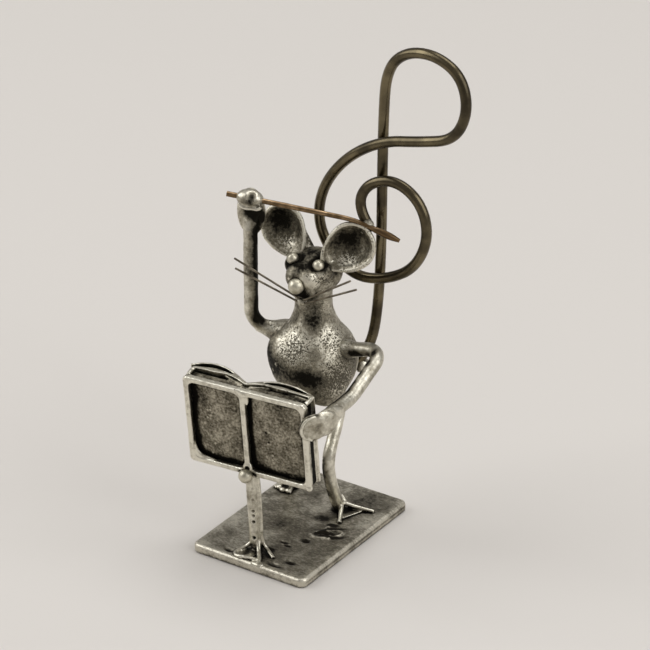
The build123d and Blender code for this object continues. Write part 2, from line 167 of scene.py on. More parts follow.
def rubbed_black_and_painted_light(tree, place, bath_left, corner_reach, grain_size, grain_depth, grain_stretch):
    """How black the bath, the cloth and the painted shade and highlights leave each place, and the casting's
    grain by itself.
    """
    bath_and_painted_light = add_node(tree, "ShaderNodeAttribute", {"attribute_name": "bath_and_painted_light"}, {})
    corners = add_node(tree, "ShaderNodeAmbientOcclusion", {"samples": 8}, {"Distance": corner_reach * MM})
    edges = add_node(tree, "ShaderNodeNewGeometry", {}, {})
    cloth = add_node(
        tree, "ShaderNodeTexNoise", {},
        {"Vector": place, "Scale": per_mm(cloth_wave), "Detail": 4.0, "Roughness": 0.6},
    )
    drawn_out = add_node(tree, "ShaderNodeMapping", {}, {"Vector": place, "Scale": grain_stretch})
    grain = add_node(
        tree, "ShaderNodeTexNoise", {},
        {"Vector": drawn_out.outputs["Vector"], "Scale": per_mm(grain_size),
         "Detail": 3.0, "Roughness": 0.65},
    )
    # The more a place is shut in, the blacker it stays
    corner_black = add_node(
        tree, "ShaderNodeMapRange", {},
        {"Value": corners.outputs["AO"], "From Min": 0.95, "From Max": 0.4, "To Min": 0.0, "To Max": 0.9},
    )
    # An edge that stands out is rubbed bright
    edge_rub = add_node(
        tree, "ShaderNodeMapRange", {},
        {"Value": edges.outputs["Pointiness"], "From Min": 0.512, "From Max": 0.548,
         "To Min": 0.0, "To Max": -0.75},
    )
    # The cloth passes in broad, uneven strokes, and the cast grain between them holds a little black
    cloth_black = add_node(
        tree, "ShaderNodeMapRange", {},
        {"Value": cloth.outputs["Fac"], "From Min": 0.3, "From Max": 0.7,
         "To Min": bath_left - 0.28, "To Max": bath_left + 0.28},
    )
    grain_black = add_node(
        tree, "ShaderNodeMapRange", {},
        {"Value": grain.outputs["Fac"], "From Min": 0.3, "From Max": 0.7,
         "To Min": -grain_depth, "To Max": grain_depth},
    )
    rubbed_and_painted_light = cloth_black.outputs["Result"]
    for level in (
        bath_and_painted_light.outputs["Fac"], grain_black.outputs["Result"], corner_black.outputs["Result"],
        edge_rub.outputs["Result"],
    ):
        added = add_node(tree, "ShaderNodeMath", {"operation": "ADD"}, {0: rubbed_and_painted_light, 1: level})
        rubbed_and_painted_light = added.outputs["Value"]
    return rubbed_and_painted_light, grain.outputs["Fac"]


# %% [markdown]
# The mould leaves small pits in the skin. No cloth reaches their bottom, so they stay black whatever is
# rubbed round them. Modelled pits would need a very fine mesh, so a noise stands for them, and a second
# note, "pocks", says where more of them are seen.

# %% Pocks in the casting
# Real pocks are about a tenth of a millimetre wide, too fine to show, so they are drawn three times coarser
pock_wave = 0.33


def pock_black(tree, place, pocked):
    """How black the pocks leave each place, which is nothing between them."""
    pocks = add_node(tree, "ShaderNodeAttribute", {"attribute_name": "pocks"}, {})
    pock_noise = add_node(
        tree, "ShaderNodeTexNoise", {},
        {"Vector": place, "Scale": per_mm(pock_wave), "Detail": 1.5, "Roughness": 0.5, "Distortion": 0.9},
    )
    pock_level = add_node(
        tree, "ShaderNodeMath", {"operation": "MULTIPLY_ADD"},
        {0: pocks.outputs["Fac"], 1: 0.35, 2: pock_noise.outputs["Fac"]},
    )
    pock_mask = add_node(
        tree, "ShaderNodeMapRange", {},
        {"Value": pock_level.outputs["Value"], "From Min": 0.72 - 0.25 * pocked,
         "From Max": 0.82 - 0.25 * pocked, "To Min": 0.0, "To Max": 0.75},
    )
    return pock_mask.outputs["Result"]


# %% [markdown]
# The two together say how black the metal is. Rubbed pewter is smooth and nearly white, a film of the
# bath turns it grey, and full black is the dullest, so the colour and the roughness both follow from one
# darkness. The grain and the pocks are also the relief that breaks up the highlights.

# %% Antiqued pewter
def antiqued_pewter(
    name, bright, grey, black, bath_left, pocked, roughness,
    corner_reach=2.0, grain_size=0.8, grain_depth=0.16, grain_stretch=(1, 1, 1),
):
    """Cast pewter, blackened and rubbed: bath_left is how dark it stays, pocked how rough its skin is."""
    material, tree, shader = empty_material(name)
    place = add_node(tree, "ShaderNodeTexCoord", {}, {}).outputs["Object"]
    rubbed_and_painted_light, grain = rubbed_black_and_painted_light(
        tree, place, bath_left, corner_reach, grain_size, grain_depth, grain_stretch
    )
    pocks = pock_black(tree, place, pocked)
    darkness = add_node(
        tree, "ShaderNodeMath", {"operation": "MAXIMUM", "use_clamp": True}, {0: rubbed_and_painted_light, 1: pocks}
    )
    colour = add_node(tree, "ShaderNodeValToRGB", {}, {"Fac": darkness.outputs["Value"]})
    colour.color_ramp.elements[0].color = linear(bright)
    colour.color_ramp.elements[1].position = 0.92
    colour.color_ramp.elements[1].color = linear(black)
    colour.color_ramp.elements.new(0.45).color = linear(grey)
    gloss = add_node(
        tree, "ShaderNodeMapRange", {},
        {"Value": darkness.outputs["Value"], "From Min": 0.0, "From Max": 1.0,
         "To Min": roughness, "To Max": roughness + 0.22},
    )
    relief = add_node(
        tree, "ShaderNodeMath", {"operation": "MULTIPLY_ADD"}, {0: pocks, 1: -0.8, 2: grain}
    )
    join_metal(
        tree, shader, colour.outputs["Color"], gloss.outputs["Result"], relief.outputs["Value"],
        strength=0.6, depth=0.15,
    )
    return material


# %% [markdown]
# One bath and one cloth still leave each piece with a finish of its own. The body and the head keep
# black in their pocks, so their highlights break up. The dished ears are darkest, and the panels behind
# the bars stay dull, because no cloth reaches them. Limbs, bars and beads were rubbed nearly bright, and
# the plate's grain runs across it, as it was brushed.

# %% The pewter finishes
body_pewter = antiqued_pewter(
    "antiqued_pewter_body", "#dcd7c7", "#948e7e", "#23211c", bath_left=0.36, pocked=0.55, roughness=0.42,
    grain_size=0.6, grain_depth=0.22,
)
face_pewter = antiqued_pewter(
    "antiqued_pewter_face", "#dcd7c7", "#8b8575", "#1b1915", bath_left=0.36, pocked=0.4, roughness=0.4,
    grain_size=0.6, grain_depth=0.22,
)
ear_pewter = antiqued_pewter(
    "antiqued_pewter_ears", "#dcd7c7", "#7d7767", "#1f1d18", bath_left=0.55, pocked=0.5, roughness=0.36,
    grain_size=0.6, grain_depth=0.24,
)
limb_pewter = antiqued_pewter(
    "antiqued_pewter_limbs", "#dfdbcc", "#9b9585", "#211f1a", bath_left=0.16, pocked=0.1, roughness=0.33
)
bar_pewter = antiqued_pewter(
    "antiqued_pewter_bars", "#e2decf", "#a39d8d", "#1d1b17", bath_left=0.1, pocked=0.15, roughness=0.3,
    corner_reach=1.8,
)
panel_pewter = antiqued_pewter(
    "antiqued_pewter_panels", "#b9b3a2", "#7b7566", "#171511", bath_left=0.42, pocked=0.2, roughness=0.5,
    corner_reach=1.2, grain_size=0.5, grain_depth=0.28,
)
plate_pewter = antiqued_pewter(
    "antiqued_pewter_plate", "#d0cbbc", "#807b6e", "#24211c", bath_left=0.36, pocked=0.1, roughness=0.38,
    corner_reach=0.8, grain_size=0.45, grain_depth=0.2, grain_stretch=(0.7, 1.2, 1),
)
bright_pewter = antiqued_pewter(
    "rubbed_pewter_beads", "#cdc8b6", "#9d9785", "#33302a", bath_left=0.12, pocked=0.0, roughness=0.4,
    corner_reach=0.6,
)
print("Pewter finishes:", len(bpy.data.materials))


# %% [markdown]
# Brass wire that has been through the same bath comes out a dark olive brown. Copper stays warmer under
# its tarnish, and steel turns a dull grey. All three were drawn through a die, so their roughness is
# even, and only a faint mottling and a narrow, soft highlight show.

# %% Patinated brass, copper and steel wire
scratch_wave = 0.35


def patinated_wire(name, bright, dull, mottle_size, roughness):
    """Drawn wire with a mottled patina."""
    material, tree, shader = empty_material(name)
    place = add_node(tree, "ShaderNodeTexCoord", {}, {}).outputs["Object"]
    mottle = add_node(
        tree, "ShaderNodeTexNoise", {}, {"Vector": place, "Scale": per_mm(mottle_size), "Detail": 4.0}
    )
    fine = add_node(
        tree, "ShaderNodeTexNoise", {}, {"Vector": place, "Scale": per_mm(scratch_wave), "Detail": 2.0}
    )
    # The note darkens the wire too, and on the baton it holds painted shade
    bath_and_painted_light = add_node(tree, "ShaderNodeAttribute", {"attribute_name": "bath_and_painted_light"}, {})
    bared = add_node(
        tree, "ShaderNodeMath", {"operation": "SUBTRACT", "use_clamp": True},
        {0: mottle.outputs["Fac"], 1: bath_and_painted_light.outputs["Fac"]},
    )
    colour = add_node(tree, "ShaderNodeValToRGB", {}, {"Fac": bared.outputs["Value"]})
    colour.color_ramp.elements[0].position = 0.35
    colour.color_ramp.elements[0].color = linear(dull)
    colour.color_ramp.elements[1].position = 0.7
    colour.color_ramp.elements[1].color = linear(bright)
    gloss = add_node(
        tree, "ShaderNodeMapRange", {},
        {"Value": mottle.outputs["Fac"], "From Min": 0.3, "From Max": 0.7,
         "To Min": roughness + 0.08, "To Max": roughness - 0.06},
    )
    join_metal(
        tree, shader, colour.outputs["Color"], gloss.outputs["Result"], fine.outputs["Fac"],
        strength=0.25, depth=0.03,
    )
    return material


brass_wire = patinated_wire("patinated_brass_wire", "#746a53", "#423c30", mottle_size=5.0, roughness=0.27)
copper_rod = patinated_wire("tarnished_copper_rod", "#c4a682", "#6b573e", mottle_size=2.5, roughness=0.3)
whisker_steel = patinated_wire("dull_steel_wire", "#8f8676", "#5c554a", mottle_size=2.0, roughness=0.35)
print("All metal finishes:", len(bpy.data.materials))


# %% [markdown]
# Operators act on whatever is selected, so the first helper selects one piece and nothing else, as a
# click on it would. The other two put a piece's place and a modifier's work into its mesh, because a
# finished piece sits unturned and unscaled at the origin.

# %% Helpers that select and apply
def pick(piece):
    """Select one piece alone and make it the active one."""
    bpy.ops.object.select_all(action="DESELECT")
    piece.select_set(True)
    bpy.context.view_layer.objects.active = piece


def settle(piece):
    """Put a piece's place, turn and size into its mesh."""
    pick(piece)
    bpy.ops.object.transform_apply(location=True, rotation=True, scale=True)
    return piece


def finish_modifier(piece, kind, **fields):
    """Add a modifier with its settings and apply it."""
    pick(piece)
    modifier = piece.modifiers.new(kind.lower(), kind)
    for field, value in fields.items():
        setattr(modifier, field, value)
    bpy.ops.object.modifier_apply(modifier=modifier.name)


# %% [markdown]
# Most new lumps start as balls or as rods. A rod could be extruded ring by ring, but a curve with a round
# bevel stays round in its bends, and its radius can change from point to point as on a drawn-out rod.

# %% Balls and rods
def ball(centre, radius, stretch=(1, 1, 1), turn=(0, 0, 0)):
    """A lump of metal, round or stretched."""
    bpy.ops.mesh.primitive_uv_sphere_add(
        segments=48, ring_count=24, radius=radius, location=centre, scale=stretch, rotation=turn
    )
    return settle(bpy.context.object)


def smooth_line(points):
    """A curve from the first point to the last that is drawn towards those between, as bent wire is."""
    bpy.ops.curve.primitive_nurbs_path_add()
    line = bpy.context.object
    line.location = (0, 0, 0)
    line.data.splines.clear()
    spline = line.data.splines.new("NURBS")
    spline.points.add(len(points) - 1)
    for knot, point in zip(spline.points, points):
        knot.co = (*point, 1)
    spline.order_u = 3
    spline.use_endpoint_u = True
    spline.resolution_u = 12
    return line


def rod(points, radii):
    """A round rod along a smooth line, with its own radius in millimetres at each point."""
    line = smooth_line(points)
    for knot, radius in zip(line.data.splines[0].points, radii):
        knot.radius = radius
    line.data.bevel_depth = MM
    line.data.bevel_resolution = 8
    line.data.use_fill_caps = True
    pick(line)
    bpy.ops.object.convert(target="MESH")
    return settle(bpy.context.object)


# %% [markdown]
# Where the CAD model's shape is already right, a copy of its mesh is the start, and drawing it again
# would gain nothing. Points that lie in one place are merged, or the skin could come apart at its seams.

# %% Copies of the frame's shapes
def frame_copy(node):
    """A copy of a CAD node's shape, merged, for a start that already fits."""
    source = frame["nodes"][node]
    copy = source.copy()
    copy.data = source.data.copy()
    copy.parent = None
    bpy.context.collection.objects.link(copy)
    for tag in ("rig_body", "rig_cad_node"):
        if tag in copy:
            del copy[tag]
    pick(copy)
    bpy.ops.object.mode_set(mode="EDIT")
    bpy.ops.mesh.select_all(action="SELECT")
    bpy.ops.mesh.remove_doubles(threshold=0.002 * MM)
    bpy.ops.object.mode_set(mode="OBJECT")
    return copy


# %% [markdown]
# Lumps become one skin by a voxel remesh, which melts them together as solder does, and a few rounds of
# smoothing soften the corners as casting and polishing do. Booleans would keep hard seams between them.

# %% Helpers that finish a piece
def name_piece(piece, name):
    """Name a piece and let light run smoothly over it."""
    piece.name = name
    pick(piece)
    bpy.ops.object.shade_smooth()
    return piece


def fuse(name, lumps, grain, softening):
    """Melt overlapping lumps into one skin of this fineness, smoothed this many times."""
    bpy.ops.object.select_all(action="DESELECT")
    for lump in lumps:
        lump.select_set(True)
    bpy.context.view_layer.objects.active = lumps[0]
    if len(lumps) > 1:
        bpy.ops.object.join()
    piece = bpy.context.object
    finish_modifier(piece, "REMESH", mode="VOXEL", voxel_size=grain * MM)
    finish_modifier(piece, "SMOOTH", factor=0.5, iterations=softening)
    piece.data.name = name
    print(name, "melted from lumps:", len(lumps))
    return name_piece(piece, name)


def dress(piece, nodes, material):
    """Give a finished piece its material and its place in the record, and hide the CAD nodes it replaces."""
    piece.data.materials.clear()
    piece.data.materials.append(material)
    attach(piece, "root")
    for node in nodes:
        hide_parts(node)
    print(piece.name, "faces", len(piece.data.polygons))


# %% [markdown]
# The belly and the skull are balls in the frame, and most other places are found from them. Their boxes
# give the middles and the radii, so the dressing follows if the frame's sizes change.

# %% Places taken from the frame
def middle(node):
    """The middle of a CAD node's box."""
    low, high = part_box(node)
    return (low + high) / 2


body_low, body_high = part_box("mouse_body")
belly_radius = (body_high.x - body_low.x) / 2
belly = Vector((middle("mouse_body").x, middle("mouse_body").y, body_low.z + belly_radius))
head_low, head_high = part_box("mouse_head")
skull_radius = (head_high.x - head_low.x) / 2
skull = Vector((middle("mouse_head").x, head_high.y - skull_radius, body_high.z))
print("belly", belly, "skull", skull)

# %% [markdown]
# Hand-made metal is never quite even. Two of these helpers work on a skin like a thumb and a brush: one
# moves the points near a place, and one notes on them how black or how pocked the finish is, and where
# shade or highlights are painted. Notes on points are chosen over painted pictures, because they move
# with the shape.

# %% Helpers that work on a skin
def skin_points(piece):
    """The places of a skin's points, one to a row."""
    places = np.empty(len(piece.data.vertices) * 3)
    piece.data.vertices.foreach_get("co", places)
    return places.reshape(-1, 3)


def nearness(piece, place, reach):
    """How near each point of a skin is to a place: 1 at the place, 0 at its reach and beyond."""
    distance = np.linalg.norm((skin_points(piece) - np.array(place)) / (np.array(reach) * MM), axis=1)
    near = np.clip(1 - distance, 0, 1)
    return near * near * (3 - 2 * near)


def push(piece, place, reach, move):
    """Move the skin near a place by this many millimetres, most in its middle, like a thumb in clay."""
    places = skin_points(piece) + nearness(piece, place, reach)[:, None] * np.array(move) * MM
    piece.data.vertices.foreach_set("co", places.ravel())
    piece.data.update()


def brush(piece, kind, strokes):
    """Note more (or less) of a finish round places: each stroke is a place, its reach and an amount."""
    notes = piece.data.attributes.get(kind) or piece.data.attributes.new(kind, "FLOAT", "POINT")
    levels = np.empty(len(piece.data.vertices))
    notes.data.foreach_get("value", levels)
    for place, reach, amount in strokes:
        levels += amount * nearness(piece, place, reach)
    notes.data.foreach_set("value", levels)


# %% [markdown]
# The plate is cut from cast sheet. Its edges were filed round, its top was brushed, and old dents and two
# curled scars are left in it. The scars could be bump alone, but from the side they stand up, so thin
# rods melted into the frame's plate make their raised lips.

# %% Base plate
plate_half_width, plate_half_length, plate_top = (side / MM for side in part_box("base_plate")[1])


def over_plate(across, along, height):
    """A place over the plate's top, in millimetres."""
    return Vector((across, along, plate_top + height)) * MM


scar_lips = (
    ((4.4, -3.2), (5.4, -4.0), (7.6, -3.2), (9.6, -1.0), (9.8, 0.6), (8.6, 0.9), (6.4, -0.6), (4.9, -2.0)),
    ((6.0, 1.2), (5.6, 0.2), (7.0, -0.4), (8.4, -1.8), (8.6, -3.0)),
)
lip_rods = [rod([over_plate(*place, 0) for place in line], [0.3] * len(line)) for line in scar_lips]
plate = fuse("plate", [frame_copy("base_plate"), *lip_rods], grain=0.2, softening=3)
# Each dent's place across and along, its half width and half length, and its depth
plate_dents = (
    (5.1, -5.9, 1.5, 1.1, 0.65),
    (1.8, -8.9, 1.5, 0.6, 0.35),
    (1.2, -12.8, 1.4, 1.2, 0.3),
    (7.4, -14.7, 1.9, 1.0, 0.45),
    (5.2, -17.2, 2.8, 0.9, 0.55),
    (3.2, -9.6, 1.2, 0.6, 0.3),
    (-5.6, -17.4, 1.6, 0.8, 0.5),
    (-4.0, -16.0, 1.2, 0.7, 0.35),
    (7.2, -1.2, 2.2, 0.9, 0.35),
)
for across, along, width, length, depth in plate_dents:
    push(plate, over_plate(across, along, 0), (width, length, 1.0), (0, 0, -depth))
    brush(plate, "bath_and_painted_light", [(over_plate(across, along, 0), (width, length, 1.2), 1.1)])

# %% [markdown]
# The bath pools in the scars and round the feet, and the cloth catches the filed edges, which come out
# bright but for a dark line left along the side.

# %% The plate's finish
brush(plate, "bath_and_painted_light", [
    (over_plate(7.0, -0.6, 0), (5, 4, 1.5), 0.35),
    (over_plate(-3.0, -2.5, 0), (6, 5, 1.5), 0.35),
    (over_plate(0.0, 5.6, 0), (3.5, 3.5, 1.5), -0.35),
    (over_plate(3.2, 3.4, 0), (2.4, 2.4, 1.5), 0.7),
    (over_plate(6.3, 6.4, 0), (2.4, 2.4, 1.5), 0.6),
    (over_plate(4.0, 8.5, 0), (3.0, 2.5, 1.5), 0.4),
    (over_plate(8.0, 15.0, 0), (10, 7, 1.5), 0.3),
    (over_plate(0.0, -15.0, 0), (7, 4, 1.5), 0.25),
])
# The black in the scars runs out to one end
scar_hollows = (
    ((5.2, -2.4), (6.6, 0.2), (8.2, 1.4), (10.6, 3.2)),
    ((6.6, -2.7), (8.6, -2.3), (10.2, -1.4), (11.3, 0.0)),
    ((5.6, 1.9), (7.4, 2.5)),
)
for line in scar_hollows:
    steps = np.linspace(0, len(line) - 1, 7 * len(line))
    path = [np.interp(steps, range(len(line)), values) for values in zip(*line)]
    brush(plate, "bath_and_painted_light", [
        (over_plate(across, along, 0), (0.85, 0.85, 0.6), blackness)
        for across, along, blackness in zip(*path, np.linspace(0.5, 0.05, len(steps)))
    ])
brush(plate, "bath_and_painted_light", [
    (over_plate(*place, 0.2), (0.9, 0.9, 0.7), -0.35) for line in scar_lips for place in line
])
sides = [(side * plate_half_width, along) for side in (-1, 1) for along in range(-18, 19, 3)]
ends = [(across, side * plate_half_length) for side in (-1, 1) for across in range(-12, 13, 3)]
brush(plate, "bath_and_painted_light", [(over_plate(*place, -0.8), (2.8, 2.8, 2.4), -0.3) for place in sides + ends])
brush(plate, "bath_and_painted_light", [
    (over_plate(plate_half_width, along, -0.85), (0.8, 2.6, 0.42), 0.33) for along in range(-18, 19, 2)
])
dress(plate, ["base_plate"], plate_pewter)

# %% [markdown]
# Nothing on the figurine is machined, so most skins get a slow, shallow wave. A noise in a Displace
# modifier gives it in one step, where sculpting would take an hour. It only goes inwards, so that no
# piece grows.

# %% An uneven skin
def uneven(piece, wave, depth):
    """Let the surface wander inwards a little, as hand-finished metal does."""
    texture = bpy.data.textures.new(piece.name + "_waves", "CLOUDS")
    texture.noise_scale = wave * MM
    finish_modifier(
        piece, "DISPLACE", texture=texture, texture_coords="LOCAL", strength=depth * MM, mid_level=1.0
    )
    bpy.data.textures.remove(texture)


# %% [markdown]
# Marks on the round pieces were read from the photograph, in which a ball is seen as a disc. So a place
# on a ball is told as shares of its radius, and the helper finds it on the side that faces the camera.

# %% Places on a ball
def on_ball(centre, radius, right, up):
    """The place on a ball that the camera sees right of and above its middle, in shares of its radius."""
    forward = math.sqrt(1 - right * right - up * up)
    return centre + (seen_right * right + seen_up * up + towards_camera * forward) * radius


# %% [markdown]
# The body is one pear-shaped casting. The frame's shape is right, so a softened copy of it is enough.
# Painted highlights brighten its front in three places, and painted shade darkens it between them and
# under the belly, over the bath's own black.

# %% Body
def on_belly(right, up):
    """The place on the belly that the camera sees right of and above its middle, in shares of its radius."""
    return on_ball(belly, belly_radius, right, up)


body = fuse("body", [frame_copy("mouse_body")], grain=0.22, softening=3)
uneven(body, wave=4.0, depth=0.3)
push(body, on_belly(-0.85, 0.25), (6, 6, 7), (-1.2, -0.1, 0.3))
push(body, on_belly(0.35, -0.8), (7, 7, 7), (0.3, -0.3, -2.1))
throat = Vector((belly.x, belly.y, body_high.z - 9 * MM))
# Painted shade and painted highlights over the bath's black: dark down the throat, between the highlights and
# under the belly, bright in three places
brush(body, "bath_and_painted_light", [
    (throat + towards_camera * 4.5 * MM, (3.0, 3.0, 5.5), 0.4),
    (throat + (towards_camera * 3 - seen_right * 4) * MM, (2, 2, 5), 0.25),
    (on_belly(0.02, 0.55), (2.4, 2.4, 3.5), 0.3),
    (on_belly(0.03, 0.1), (2.2, 2.2, 4.0), 0.3),
    (on_belly(-0.3, -0.45), (5.0, 5.0, 3.4), 0.65),
    (on_belly(0.15, -0.55), (4.5, 4.5, 3.4), 0.5),
    (on_belly(-0.1, -0.85), (6, 6, 3.5), 0.45),
    (on_belly(-0.8, -0.35), (5, 5, 5), 0.6),
    (on_belly(-0.95, 0.0), (4, 4, 5), 0.45),
    (on_belly(0.93, -0.1), (3, 3, 5), 0.4),
    (on_belly(0.68, 0.1), (2.5, 2.5, 4), 0.3),
    (on_belly(0.7, -0.4), (3.5, 3.5, 4), 0.2),
    (on_belly(-0.45, 0.22), (5.5, 5.5, 5.5), -0.5),
    (on_belly(0.4, 0.38), (4.0, 4.0, 4.5), -0.45),
    (on_belly(0.55, -0.5), (5.5, 5.5, 5.5), -0.3),
])
brush(body, "pocks", [
    (on_belly(-0.4, 0.12), (5.5, 5.5, 5.5), 0.5),
    (on_belly(0.4, 0.4), (5, 5, 5), 0.35),
    (on_belly(0.6, -0.45), (7, 7, 7), 0.75),
    (on_belly(0.0, -0.6), (6, 6, 5), 0.4),
    (on_belly(-0.75, -0.25), (5, 5, 5), 0.4),
    (throat + towards_camera * 4 * MM, (4, 4, 6), 0.4),
])
dress(body, ["mouse_body"], body_pewter)

# %% [markdown]
# The face is broad at the cheeks, and each eye sits in a hollow. It could be sculpted from one ball, but
# lumps are easier to place: they fill the cheeks, the temples, the bridge of the snout and the chin, and
# the hollows are pressed in before the bright beads are set in them.

# %% Head
nose_middle = middle("nose")
snout = Vector((skull.x, nose_middle.y + 3.2 * MM, nose_middle.z + 0.9 * MM))
cheeks = [
    ball(snout + Vector((side * 1.25, 0.1, -0.2)) * MM, 2.6 * MM, stretch=(1, 1.1, 1.15)) for side in (-1, 1)
]
temples = [ball(snout + Vector((side * 2.95, 1.7, 1.2)) * MM, 2.35 * MM) for side in (-1, 1)]
bridge = ball(snout + Vector((0, 0.4, 0.2)) * MM, 2.9 * MM)
chin = ball(snout + Vector((0.7, -0.6, -2.3)) * MM, 2.0 * MM, stretch=(1.2, 1.1, 0.95))
head = fuse(
    "head", [frame_copy("mouse_head"), *cheeks, *temples, bridge, chin], grain=0.16, softening=7
)
left_eye, right_eye = middle("left_eye"), middle("right_eye")
for eye in (left_eye, right_eye):
    push(head, eye, (2.5, 2.5, 2.5), (skull - eye).normalized() * 0.9)
    brush(head, "bath_and_painted_light", [(eye, (2.7, 2.7, 2.5), 1.4)])
push(head, on_ball(skull, skull_radius, 0.9, -0.1), (4.5, 4.5, 5.0), seen_right * 0.7)
uneven(head, wave=3.0, depth=0.15)
brow = (left_eye + right_eye) / 2
brush(head, "bath_and_painted_light", [
    (brow + Vector((0, 1.5, 1.5)) * MM, (4.0, 3.0, 1.8), 0.7),
    (snout + (towards_camera * 1.6 + Vector((-0.2, 0, 2.2))) * MM, (4.2, 4.2, 2.8), 0.8),
    (nose_middle + Vector((0, 1.2, -1.8)) * MM, (2.6, 2.0, 1.4), 1.1),
    (snout + Vector((-3.0, 0, 0.5)) * MM, (2.2, 3.0, 3.0), 0.75),
    (nose_middle + seen_right * 1.2 * MM - seen_up * 1.7 * MM, (2.2, 2.2, 1.5), 1.3),
    (on_ball(skull, skull_radius, 0.75, 0.0), (2, 2, 3), 0.4),
    # The last stroke is a painted highlight on the cheek
    (snout + (towards_camera * 2.2 + seen_right * 1.9 - seen_up * 0.6) * MM, (3.6, 3.6, 2.4), -1.4),
])
brush(head, "pocks", [
    (on_ball(skull, skull_radius, 0.45, -0.3), (4.5, 4.5, 4), 0.5),
    (snout + (towards_camera * 2.2 + seen_right * 2) * MM, (3.5, 3.5, 3), 0.25),
])
dress(head, ["mouse_head"], face_pewter)

# %% [markdown]
# The nose and the eyes are drops of pewter, which pull themselves nearly round as they cool. A ball is
# the right start, and a little unevenness keeps its highlight from looking machined. The music stand's
# knob is such a drop too, so one helper makes all four.

# %% Nose and eyes
def bead(name, node, growth, shift=(0, 0, 0)):
    """A drop in place of a node's ball, this many times as large and moved by this many millimetres."""
    low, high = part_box(node)
    drop = ball((low + high) / 2 + Vector(shift) * MM, growth * (high.x - low.x) / 2)
    uneven(drop, wave=1.2, depth=0.12)
    dress(name_piece(drop, name), [node], bright_pewter)


bead("nose_bead", "nose", 1.07, seen_right * 0.3)
bead("left_eye_bead", "left_eye", 1.08, (0.1, -0.3, 0.1))
bead("right_eye_bead", "right_eye", 1.12, (-0.2, -0.4, 0.1))

# %% [markdown]
# On a figurine like this the joint behind an ear is filed until no seam is left. A Smooth modifier does
# that too, and a group of points keeps it to the joint, so that the rolled rim stays crisp.

# %% Rounding off a joint
def melt(piece, place, reach, rounds):
    """Round off the skin near a place, most in its middle, as solder and a file do."""
    group = piece.vertex_groups.new(name="melted")
    for number, weight in enumerate(nearness(piece, place, reach)):
        if weight > 0:
            group.add([number], float(weight), "REPLACE")
    finish_modifier(piece, "SMOOTH", factor=0.8, iterations=rounds, vertex_group=group.name)
    piece.vertex_groups.clear()


# %% [markdown]
# Each ear is a dished disc with a rolled rim, drawn out to a point where it is soldered to the skull.
# The frame holds the round dish and its root. A ring makes the rolled rim, which bevelling the disc's
# edge would leave too thin, and the side next to the skull is pulled towards the eye.

# %% Ears
ear_radius = 4.8 * MM
ear_out, ear_back, ear_rise = 8.2, 0.2, 7.3
ear_tip_lift = math.radians(14)
left_ear_turn, right_ear_turn = math.radians(18), math.radians(6)
for side, outwards, ear_turn in (("left", 1, left_ear_turn), ("right", -1, right_ear_turn)):
    opening = Vector((
        math.sin(ear_turn) * math.cos(ear_tip_lift),
        -math.cos(ear_turn) * math.cos(ear_tip_lift),
        math.sin(ear_tip_lift),
    ))
    ear_middle = skull + Vector((outwards * ear_out, ear_back, ear_rise)) * MM
    bpy.ops.object.select_all(action="DESELECT")
    bpy.ops.mesh.primitive_torus_add(
        major_segments=64, minor_segments=12, major_radius=ear_radius - 0.35 * MM, minor_radius=0.58 * MM,
        location=ear_middle - opening * 0.25 * MM, rotation=opening.to_track_quat("Z", "Y").to_euler(),
    )
    rim = settle(bpy.context.object)
    ear = fuse(side + "_ear_dish", [frame_copy(side + "_ear"), rim], grain=0.15, softening=2)
    rim_side = opening.cross(Vector((0, 0, 1))).normalized()
    rim_up = rim_side.cross(opening)
    brush(ear, "bath_and_painted_light", [
        (ear_middle + (rim_side * math.cos(turn) + rim_up * math.sin(turn)) * ear_radius + opening * 0.3 * MM,
         (1.0, 1.0, 1.0), -0.8)
        for turn in np.linspace(0, 2 * math.pi, 40, endpoint=False)
    ])
    to_skull = (skull + Vector((outwards * 2.5, -2.5, 2.5)) * MM - ear_middle).normalized()
    ear_root = ear_middle + to_skull * ear_radius
    push(ear, ear_root, (6.5, 6.5, 6.5), to_skull * 2.4)
    collar = ear_middle - opening * 5.0 * MM
    push(ear, collar, (4, 4, 4), to_skull * 1.5 + opening * 1.3)
    melt(ear, collar + opening * MM, (5, 5, 5), rounds=100)
    uneven(ear, wave=3.0, depth=0.2)
    dish_floor = ear_middle - opening * 2.2 * MM
    brush(ear, "bath_and_painted_light", [
        (dish_floor + (seen_up * 1.4 - seen_right * 1.3) * MM, (4.6, 3.5, 4.4), 0.6),
        (dish_floor + (seen_right * 2.0 - seen_up * 0.6) * MM, (2.2, 2.4, 3.6), -0.35),
        (dish_floor - (seen_up * 3.0 + seen_right * outwards * 1.2) * MM, (3.0, 3.0, 2.4), -0.5),
        (ear_root, (3.2, 3.2, 3.2), -0.3),
        (ear_root + to_skull * 3.0 * MM, (2.0, 2.0, 2.0), 1.3),
    ])
    brush(ear, "pocks", [(dish_floor - Vector((0, 0, 1.5)) * MM, (5, 5, 5), 0.7)])
    dress(ear, [side + "_ear"], ear_pewter)

# %% [markdown]
# The arms and the music stand's post end in shapes that the frame only hints at, so the frame's own ends
# are cut off and made anew. Bisect cuts along a plane and fills the hole, where a Boolean would need a
# block made for it.

# %% A cut through a piece
def cut_off(piece, place, direction):
    """Take away what lies past a plane, on the side that the direction points to, and close the cut."""
    pick(piece)
    bpy.ops.object.mode_set(mode="EDIT")
    bpy.ops.mesh.select_all(action="SELECT")
    bpy.ops.mesh.bisect(plane_co=place, plane_no=direction, clear_outer=True, use_fill=True)
    bpy.ops.object.mode_set(mode="OBJECT")
    return piece


# %% [markdown]
# The right hand is the arm's flattened end, curled over the baton like fingers over a stick.
# Bending a flat strip round the baton would do it, but lumps melted together keep the soft, cast look:
# the frame's arm is cut below its hand, a stretched ball makes the back of the hand, a flat one the
# strip behind the baton, and a rod the lip. At the shoulder the arm swells into the body.

